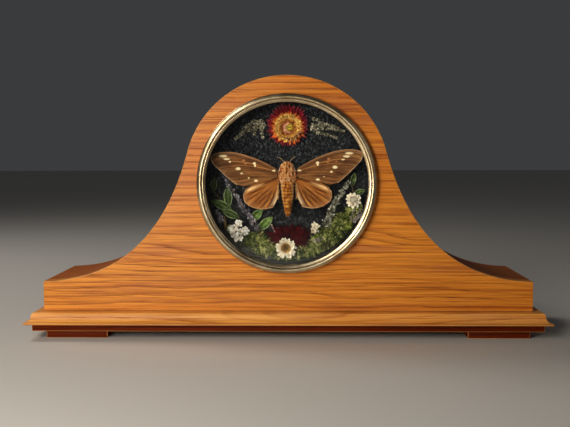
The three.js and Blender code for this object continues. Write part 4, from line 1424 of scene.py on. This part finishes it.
# %% White heads
middle_head = everlasting("everlasting_middle_bracts", (-1.2, 80.6, 20.6), FRONT, [
    (17, 4.6, 5.6, 3.1, 0.18, 0.4), (16, 4.6, 4.6, 2.9, 0.55, 1.0), (16, 4.6, 2.8, 2.2, 1.0, 1.3)])
settle(middle_head, "everlasting", white_petal, stands_for=["everlasting_middle"], smooth=60)
right_head = everlasting("everlasting_right_bracts", (61.8, 125.2, 24.9), (-0.05, -1, 0.12), [
    (11, 2.2, 5.6, 3.2, 0.1, 0.2), (9, 1.6, 5.0, 3.2, 0.45, 0.8), (10, 3.0, 4.6, 3.4, 1.35, 1.2),
    (8, 2.2, 4.2, 3.0, 1.75, 2.0), (5, 1.2, 3.4, 2.6, 1.9, 2.6)])
settle(right_head, "everlasting", white_petal, stands_for=["everlasting_right"], smooth=60)
small_head = everlasting("everlasting_small_bracts", (25.2, 97.6, 24.9), (0.25, -1, 0.45), [
    (8, 1.6, 5.2, 2.6, 0.3, 0.2), (8, 2.0, 4.6, 2.8, 1.0, 0.8), (5, 1.2, 4.2, 2.4, 1.4, 1.4)],
    0.2, closing_petal)
settle(small_head, "everlasting", white_petal, stands_for=["everlasting_small"], smooth=60)
cluster_heads = [
    everlasting("a", (-45.8, 101.4, 23.6), (-0.1, -0.75, 0.65), [
        (7, 1.6, 4.6, 2.6, 0.5, 0), (6, 1.8, 4.4, 2.6, 1.2, 0.8), (4, 1.0, 3.8, 2.4, 1.4, 1.4)],
        0.2, closing_petal),
    everlasting("b", (-41.2, 96.0, 23.6), (0.55, -0.8, 0.1), [
        (7, 1.6, 4.6, 2.6, 0.5, 0), (6, 1.8, 4.2, 2.8, 1.2, 0.8), (4, 1.0, 3.6, 2.4, 1.4, 1.4)],
        0.2, closing_petal),
    everlasting("c", (-46.6, 93.8, 20.6), (0, -1, 0), [
        (8, 3.2, 5.6, 3.6, 0.5, 0), (7, 3.0, 5.4, 3.8, 1.0, 1.0), (6, 2.0, 4.8, 3.6, 1.25, 2.0),
        (4, 0.7, 4.0, 3.2, 1.45, 2.6)],
        0.16, closing_petal),
    everlasting("d", (-51.0, 97.4, 23.8), (-0.6, -0.8, 0.2), [
        (7, 1.4, 4.4, 2.6, 0.5, 0), (6, 1.8, 4.2, 2.6, 1.2, 0.8), (4, 1.0, 3.6, 2.4, 1.4, 1.4)],
        0.2, closing_petal),
]
cluster = joined("everlasting_cluster_bracts", cluster_heads)
settle(cluster, "everlasting", cluster_painted_light_petal, stands_for=["everlasting_cluster"], smooth=60)

# %% The open head's heart
HEART_REACH = 5.0
heart_places, heart_tones = [], []
for i in range(FLORETS):
    share = math.sqrt((i + 0.5) / FLORETS)
    reach, turn = HEART_REACH * share, i * GOLDEN_TURN
    where = at(-1.2 + reach * math.cos(turn), 80.6 + reach * math.sin(turn), 19.9)
    lean = (0.2 * math.cos(turn), -1, 0.2 * math.sin(turn))
    heart_places.append(aimed(where, lean, 0.6, chance.uniform(1.0, 2.0)))
    heart_tones.append(min(1, 0.1 + 0.65 * share + 0.25 * chance.random()))  # darker in the middle
heart_stops = (0, "3A1A0A"), (0.35, "86501E"), (0.6, "CE983C"), (1, "F0CC7C")
heart_finish = toned("heart_ochre", "808080", *heart_stops, bumps=0.4)
heart_piece = laid_out("everlasting_heart", floret, heart_places, heart_tones)
settle(heart_piece, "everlasting", heart_finish, smooth=0)

# %% [markdown]
# ## The crimson flower
# A deep maroon head lies half under the white one. Its many narrow bracts look fuzzy, so it is
# several rings of thin pointed ones, drawn flatter upwards because it is seen at a slant.

# %% Crimson flower
chance = random.Random(9)
crimson_places = []
crimson_rings = (  # how many, start, length, width, lift and depth
    (54, 7, 15.5, 2.6, 0.03, 24.9), (48, 5, 14.0, 2.6, 0.16, 24.4), (40, 4, 11, 2.4, 0.3, 24.0),
    (32, 3, 8, 2.2, 0.5, 23.6), (24, 2, 6, 2.0, 0.8, 23.4))
for *ring, depth in crimson_rings:
    crimson_places += ring_of_petals(at(2.6, 90.5, depth), FRONT, *ring, chance, 0.2, squash=0.56)
crimson = laid_out("crimson_bracts", sharp_petal, crimson_places, tone_list(crimson_places, chance))
crimson_stops = (0, "40030A"), (0.5, "840616"), (1, "5A0410")
crimson_petal = petal_finish("crimson_bract", *crimson_stops, dark="140104", rough=0.8, shine=0.02)
settle(crimson, "crimson_petal", crimson_petal, stands_for=["crimson_flower"], smooth=60)

# %% [markdown]
# ## Leaves
# Each leaf is a sheet along its midrib, widest below its middle, folded a little along the rib and
# curled at its ends. The finish reads the leaf's own map, so the pale rib, the slanting side veins
# and the lighter rim, a painted highlight along the edge, follow each leaf wherever it points.

# %% Leaves
def leaf_sheet(name, base, tip, width, depth=28.9, fold=0.22, curl=0.8):
    (bx, bz), (tx, tz) = base, tip
    along = Vector((tx - bx, 0, tz - bz))
    across = Vector((-along.z, 0, along.x)).normalized()

    def where(u, v):
        side = v * 2 - 1
        half = 0.5 * width * math.sin(math.pi * min(1, u * 0.97 + 0.015)) ** 0.8 * (1 - 0.25 * u)
        spot = Vector((bx, 0, bz)) + along * u + across * side * half
        lift = fold * abs(side) * half * 1.6 + curl * (u - 0.5) ** 2 * 2 + 0.25 * math.sin(u * 9 + side * 2)
        return at(spot.x, spot.z, depth - lift)

    return thicken(sheet(name, 26, 12, where), 0.25)


def leaf_finish(name, deep, fresh, pale):
    made, shader, place = finish(name, fresh, Roughness=0.5)
    along, across = own_shares(place)
    side = distance_from(across, 0.5)
    veins = worked_out("FRACT", times(minus(along, times(side, 0.55)), 9.0))
    vein = ramp(distance_from(veins, 0.5), (0.02, 0.14), (0.12, 0))
    tone = ramp(grain(place, 240, detail=5), (0.34, deep), (0.56, fresh), (0.76, pale))
    tone = mixed(vein, tone, pale)
    tone = mixed(ramp(side, (0.012, 0.6), (0.05, 0)), tone, pale)
    # a painted highlight along the leaf's rim
    tone = mixed(ramp(side, (0.43, 0), (0.5, 1)), tone, "B4C088")
    connect(tone, shader)
    relief(shader, plus(vein, grain(place, 900, detail=2)), 0.4, 0.2)
    return made

# %% Leaf sprigs
bark_stops = (0.32, "3A2A18"), (0.52, "6E5434"), (0.7, "94805C")
bark = grained("stem_bark", "6A5030", 700, bark_stops, 0.6, 0.2, stretch=(1, 1, 0.4), Roughness=0.85)
olive_leaf = leaf_finish("olive_leaf", "1A260E", "38481C", "8A9A5E")
bright_leaf = leaf_finish("bright_leaf", "2E4214", "4E6826", "94A662")
leaf_groups = {  # a finish, the line of the twig, and each leaf's base, tip and width
    "leaf_sprig_left": (olive_leaf, [(-45, 107.5), (-54, 117), (-63, 125), (-70, 134.6)], [
        ((-69.6, 133.4), (-68.6, 147.4), 6.4), ((-55.6, 118.6), (-56.4, 138.6), 8.8),
        ((-53, 116.4), (-72.2, 125), 8.8), ((-46, 108.8), (-62, 115.6), 8)]),
    "leaf_pair_low": (bright_leaf, [(-35, 107), (-31.4, 101), (-26.4, 96)], [
        ((-34.6, 105.6), (-23.6, 116.4), 8.8), ((-27.6, 96.8), (-13.8, 109.4), 9.2)]),
    "leaf_sprig_right": (olive_leaf, [(60.4, 140), (62, 131), (58.6, 122)], [
        ((60.6, 137.6), (63.7, 151.6), 5.6), ((61.8, 129.6), (73.2, 135), 6.4)]),
}
for node, (leaf_green, twig_line, leaves) in leaf_groups.items():
    blades = [leaf_sheet(f"{node}_{i}", *leaf, depth=28.9 - 0.5 * (i % 2)) for i, leaf in enumerate(leaves)]
    settle(joined(f"{node}_blades", blades), "leaf", leaf_green, stands_for=[node], smooth=60)
    twig = stem(f"{node}_stem", [at(x, z, 29.2) for x, z in twig_line], 0.55, 0.6)
    settle(twig, "leaf", bark, smooth=60)

# %% [markdown]
# ## Lavender and seed sprigs
# A lavender spike is a stem with small pointed buds, grey to violet or green. The seed sprigs are
# finer, branched and grey to cream. Both are one bud laid out along a stem in small clumps. The
# buds of a clump share a shade and roughly a side, and there are gaps between the clumps.

# %% Buds
BUDS_IN_CLUMP = 6
CLUMP_SPREAD, CLUMP_TURN = 2, 2.2  # how loosely a clump's buds stand along the stem and round it
LINE_STEPS = 60


def bud(name, belly=0.35):
    """A small closed bud along Z, fullest below its middle."""
    deselect()
    bpy.ops.mesh.primitive_uv_sphere_add(segments=7, ring_count=6, radius=0.5, location=(0, 0, 0))
    shape = bpy.context.object
    shape.name = name
    for corner in shape.data.vertices:
        share = corner.co.z + 0.5
        width = math.sin(math.pi * min(1, share * (1 - belly) + belly * share**2)) * 0.5 + 0.06
        flat = Vector((corner.co.x, corner.co.y))
        if flat.length > 1e-6:
            flat = flat.normalized() * width
        corner.co = (flat.x, flat.y, share)
    return shape


def spike(points, depth, count, length, width, spread, half_wide, chance, start=0.0):
    """Buds along a line of the window, as places and tones, and the line's own places for its stem."""
    line = smooth_line(points, LINE_STEPS)
    last = LINE_STEPS - 1
    places, tones = [], []
    for i in range(count):
        number = i % BUDS_IN_CLUMP
        if number == 0:
            clump_tone = chance.random()
            clump_turn = chance.uniform(0, 2 * math.pi)
            clump_out = chance.random()
        along = i - number + BUDS_IN_CLUMP / 2 + chance.uniform(-CLUMP_SPREAD, CLUMP_SPREAD)
        share = start + (1 - start) * min(1, along / count)
        k = min(last - 1, max(1, int(share * last)))
        (x, z), (ax, az) = line[k], line[min(last, k + 1)] - line[k - 1]
        forth = Vector((ax, 0, az)).normalized()
        side = Vector((forth.z, 0, -forth.x))
        turn = clump_turn + chance.uniform(-CLUMP_TURN, CLUMP_TURN)
        out = side * math.cos(turn) + FRONT * abs(math.sin(turn)) * 0.8
        lean = forth + out * spread * chance.uniform(0.4, 1.3)
        reach = half_wide * MM * (1.05 - 0.75 * share) * (0.6 * chance.random() + 0.4 * clump_out)
        size = chance.uniform(0.7, 1.25) * (1 - 0.3 * share)
        places.append(aimed(at(x, z, depth) + out * reach, lean, width * size, length * size, turn))
        tones.append(0.55 * clump_tone + 0.45 * chance.random())
    return places, tones, [at(x, z, depth) for x, z in line[::6]]


def bud_finish(name, *stops):
    made, shader, place = finish(name, Roughness=0.85)
    tone = ramp(tone_of(place), *stops)
    # near-black flecks darken the buds in patches, and the same noise gives their bumps
    dark_flecks = grain(place, 1500, detail=3)
    tone = mixed(ramp(dark_flecks, (0.42, 0.5), (0.62, 0)), tone, "1E1A1C")
    connect(tone, shader)
    relief(shader, dark_flecks, 0.6, 0.2)
    return made

# %% Lavender
chance = random.Random(44)
small_bud = bud("small_bud")
lavender_grey = bud_finish(
    "lavender_buds", (0.1, "2C2830"), (0.4, "6A6272"), (0.7, "A098A4"), (0.95, "E6DED8"))
seed_grey = bud_finish(
    "seed_buds", (0.1, "26221A"), (0.4, "746C52"), (0.7, "CCC2A2"), (0.95, "FFF6DA"))
lavender_green = bud_finish(
    "lavender_green_buds", (0.1, "34342A"), (0.4, "7C7A68"), (0.7, "C2BCA8"), (0.95, "FAF4E4"))
pale_bits = bud_finish("pale_buds", (0, "7A6A62"), (0.5, "A89A96"), (1, "D2C4BE"))

lavenders = [  # a line, then how many buds, their length, width, spread and reach, and the bare share
    ("lavender_left", lavender_grey,
     [(-25, 90), (-28.4, 100), (-38, 113.4), (-46.6, 127.4), (-57.6, 144.3), (-60.6, 153.2)],
     (210, 2.8, 1.1, 1.4, 3.2), 0.1),
    ("lavender_low", lavender_grey, [(-58.8, 99.8), (-62.4, 107), (-66.4, 115.2)],
     (90, 3.2, 1.3, 0.9, 3.0), 0.05),
    ("lavender_right", lavender_green, [(35, 98.6), (39.4, 111), (47.4, 127.4), (58, 142.6)],
     (270, 3.0, 1.2, 1.5, 4.0), 0.03),
    ("lavender_bits", pale_bits, [(25, 84.6), (28.4, 87.6), (33, 89.6)],
     (34, 2.8, 1.2, 1.0, 3.0), 0.0),
]
for node, buds_finish, line, measures, start in lavenders:
    places, tones, route = spike(line, 23.3, *measures, chance, start)
    buds = laid_out(f"{node}_buds", small_bud, places, tones)
    settle(buds, "lavender", buds_finish, stands_for=[node], smooth=60)
    settle(stem(f"{node}_stem", route, 0.55, 0.5), "lavender", bark, smooth=60)

# %% Seed sprigs
sprigs = {  # a finish, a depth, and each branch's line, how many buds it has and how wide it is
    "seed_sprig_left": (seed_grey, 29.0, [
        ([(-20.4, 198.4), (-31, 194.6), (-40, 189.6), (-49.5, 182)], 170, 3.2),
        ([(-21.6, 198), (-24.4, 190), (-22.4, 182.6)], 60, 1.8),
        ([(-28, 195), (-30.5, 190), (-30.5, 186)], 40, 1.6),
        ([(-23, 200), (-32, 198.6), (-42, 192)], 50, 1.4)]),
    "seed_sprig_right": (seed_grey, 29.0, [
        ([(21.4, 194.6), (33, 193.6), (45, 192.4), (53.4, 189.4)], 170, 3.2),
        ([(22.6, 201.6), (28, 200.4), (34, 197)], 26, 1.2),
        ([(21.6, 194.2), (29, 188.4), (38, 186.4), (46.8, 183)], 80, 1.8),
        ([(28, 194.6), (36, 196.4), (44, 194.6)], 44, 1.4)]),
    "seed_twig_right": (pale_bits, 23.3, [
        ([(60, 103), (65, 109), (68.6, 116)], 44, 2.0),
        ([(61.6, 105), (60.6, 111), (63.4, 116.4)], 30, 1.6),
        ([(64, 108), (68.6, 110), (71, 113)], 26, 1.4)]),
}
for node, (seed_finish, depth, branches) in sprigs.items():
    all_places, all_tones, stems = [], [], []
    for i, (line, count, half_wide) in enumerate(branches):
        measures = (round(count * 1.5), 2.0, 0.85, 1.4, half_wide)
        places, tones, route = spike(line, depth, *measures, chance, 0.02)
        all_places += places
        all_tones += tones
        stems.append(stem(f"{node}_stem_{i}", route, 0.36, 0.5))
    seeds = laid_out(f"{node}_buds", small_bud, all_places, all_tones)
    settle(seeds, "seed_head", seed_finish, stands_for=[node], smooth=60)
    settle(joined(f"{node}_stems", stems), "seed_head", bark, smooth=60)

# %% [markdown]
# ## Twigs
# Two bare twigs lie in the arrangement, a brown one on the left and a paler one nearer the middle.

# %% Twigs
pale_stops = (0.35, "7A625C"), (0.55, "B59A92"), (0.72, "D2BEB6")
pale_bark = grained("pale_bark", "B89A90", 600, pale_stops, 0.6, 0.2, Roughness=0.8)
brown_route = [at(-58.8, 110.4, 20.5), at(-58, 104, 20.2), at(-57.4, 97.6, 20.5)]
pale_route = [at(-15, 102.2, 27.4), at(-12.6, 97, 27.2), at(-9, 90.6, 27.4)]
brown_twig = stem("twig_brown_bark", brown_route, 0.95, 0.8, 5)
settle(brown_twig, "twig", bark, stands_for=["twig_brown"], smooth=60)
pale_twig = stem("twig_pale_bark", pale_route, 0.75, 0.9, 5)
settle(pale_twig, "twig", pale_bark, stands_for=["twig_pale"], smooth=60)

# %% [markdown]
# ## Moss
# The bed is a low cushion, and what the eye sees is a felt of small fronds. One frond is a fine
# stem with two rows of pointed leaves; three thousand of them lie over the bed, most of them
# leaning outwards and up, each a slightly different shade from dark green to straw.

# %% Moss
moss_leaf = thorn("moss_leaf", 3, 0.1, 0.3)
frond_places = [aimed((0, 0, 0), (0, 0, 1), 0.05 / MM, 1 / MM)]
for i in range(7):
    for side in (-1, 1):
        height = 0.16 + 0.12 * i
        lean = Vector((side * 0.95, 0.25, 0.75))
        frond_places.append(aimed((0, 0, height), lean, 0.07 / MM, (0.34 - 0.026 * i) / MM))
frond = laid_out("frond", moss_leaf, frond_places, [0.5] * len(frond_places))
moss_edge = np.array([(-63, 99), (-52, 91), (-40, 88.6), (-31, 91.4), (-20, 84.6), (-2, 80.4),
                      (17, 80.6), (29, 90.6), (40, 101), (54, 110.4), (65, 117.4), (73, 119)])
FRONDS = 3000
BED_REACH = 74.2  # from the middle of the window
BED_DEPTH = 29.6
BED_RISE, LUMP_RISE = 2.6, 2.0

# %% Moss finish
moss_green, moss_shader, moss_at = finish("moss_green", Roughness=0.85)
patches = grain(moss_at, 70, detail=3)
moss_tone = ramp(tone_of(moss_at), (0, "161E04"), (0.3, "4C6414"), (0.65, "94A236"), (1, "F0EA98"))
moss_tone = mixed(ramp(patches, (0.42, 0.55), (0.62, 0)), moss_tone, "2C3413")
connect(moss_tone, moss_shader)
relief(moss_shader, grain(moss_at, 1800, detail=2), 0.4, 0.15)

# %% Moss fronds
chance = random.Random(123)
moss_parts = {"left": ([], []), "right": ([], [])}
while sum(len(places) for places, _ in moss_parts.values()) < FRONDS:
    x, z = chance.uniform(-64, 74), chance.uniform(66.5, 121)
    top = np.interp(x, *moss_edge.T)
    inward = math.hypot(x, z - WINDOW_Z)
    if inward > BED_REACH or z > top + 1.5:
        continue
    lump = noise.noise(Vector((x * 0.09, z * 0.09, 5)))
    near_edge = min(1.0, max(0.0, (top + 1.5 - z) / 5))
    depth = BED_DEPTH - (BED_RISE + LUMP_RISE * lump) * near_edge
    lean = Vector((chance.uniform(-1, 1), chance.uniform(-0.9, -0.2), chance.uniform(-0.6, 1)))
    if inward > 69:
        lean += Vector((-x, 0, WINDOW_Z - z)) / inward * 1.2
    places, tones = moss_parts["left" if x < 5 else "right"]
    width, length, roll = chance.uniform(5, 8), chance.uniform(5, 9), chance.uniform(0, 6.3)
    places.append(aimed(at(x, z, depth), lean, width, length, roll))
    tones.append(min(1, max(0, 0.45 + lump * 0.6 + chance.uniform(-0.5, 0.6))))
for side_name, (places, tones) in moss_parts.items():
    settle(laid_out(f"moss_fronds_{side_name}", frond, places, tones), "moss", moss_green, smooth=0)
bed_stops = (0.35, "0E1208"), (0.55, "26300F"), (0.72, "45521E")
bed = grained("moss_bed_earth", "808080", 420, bed_stops, 1.0, 1.2, detail=6, fineness=0.7, Roughness=0.95)
frame["nodes"]["moss_bed"].material_slots[0].material = bed

# %% [markdown]
# ## Removing the small shapes
# The small shapes that were laid out are removed, because only their copies belong to the part.

# %% Removing the small shapes
for shape in (hair, floret, moss_leaf, frond, small_bud, sharp_petal, round_petal, closing_petal):
    bpy.data.objects.remove(shape)
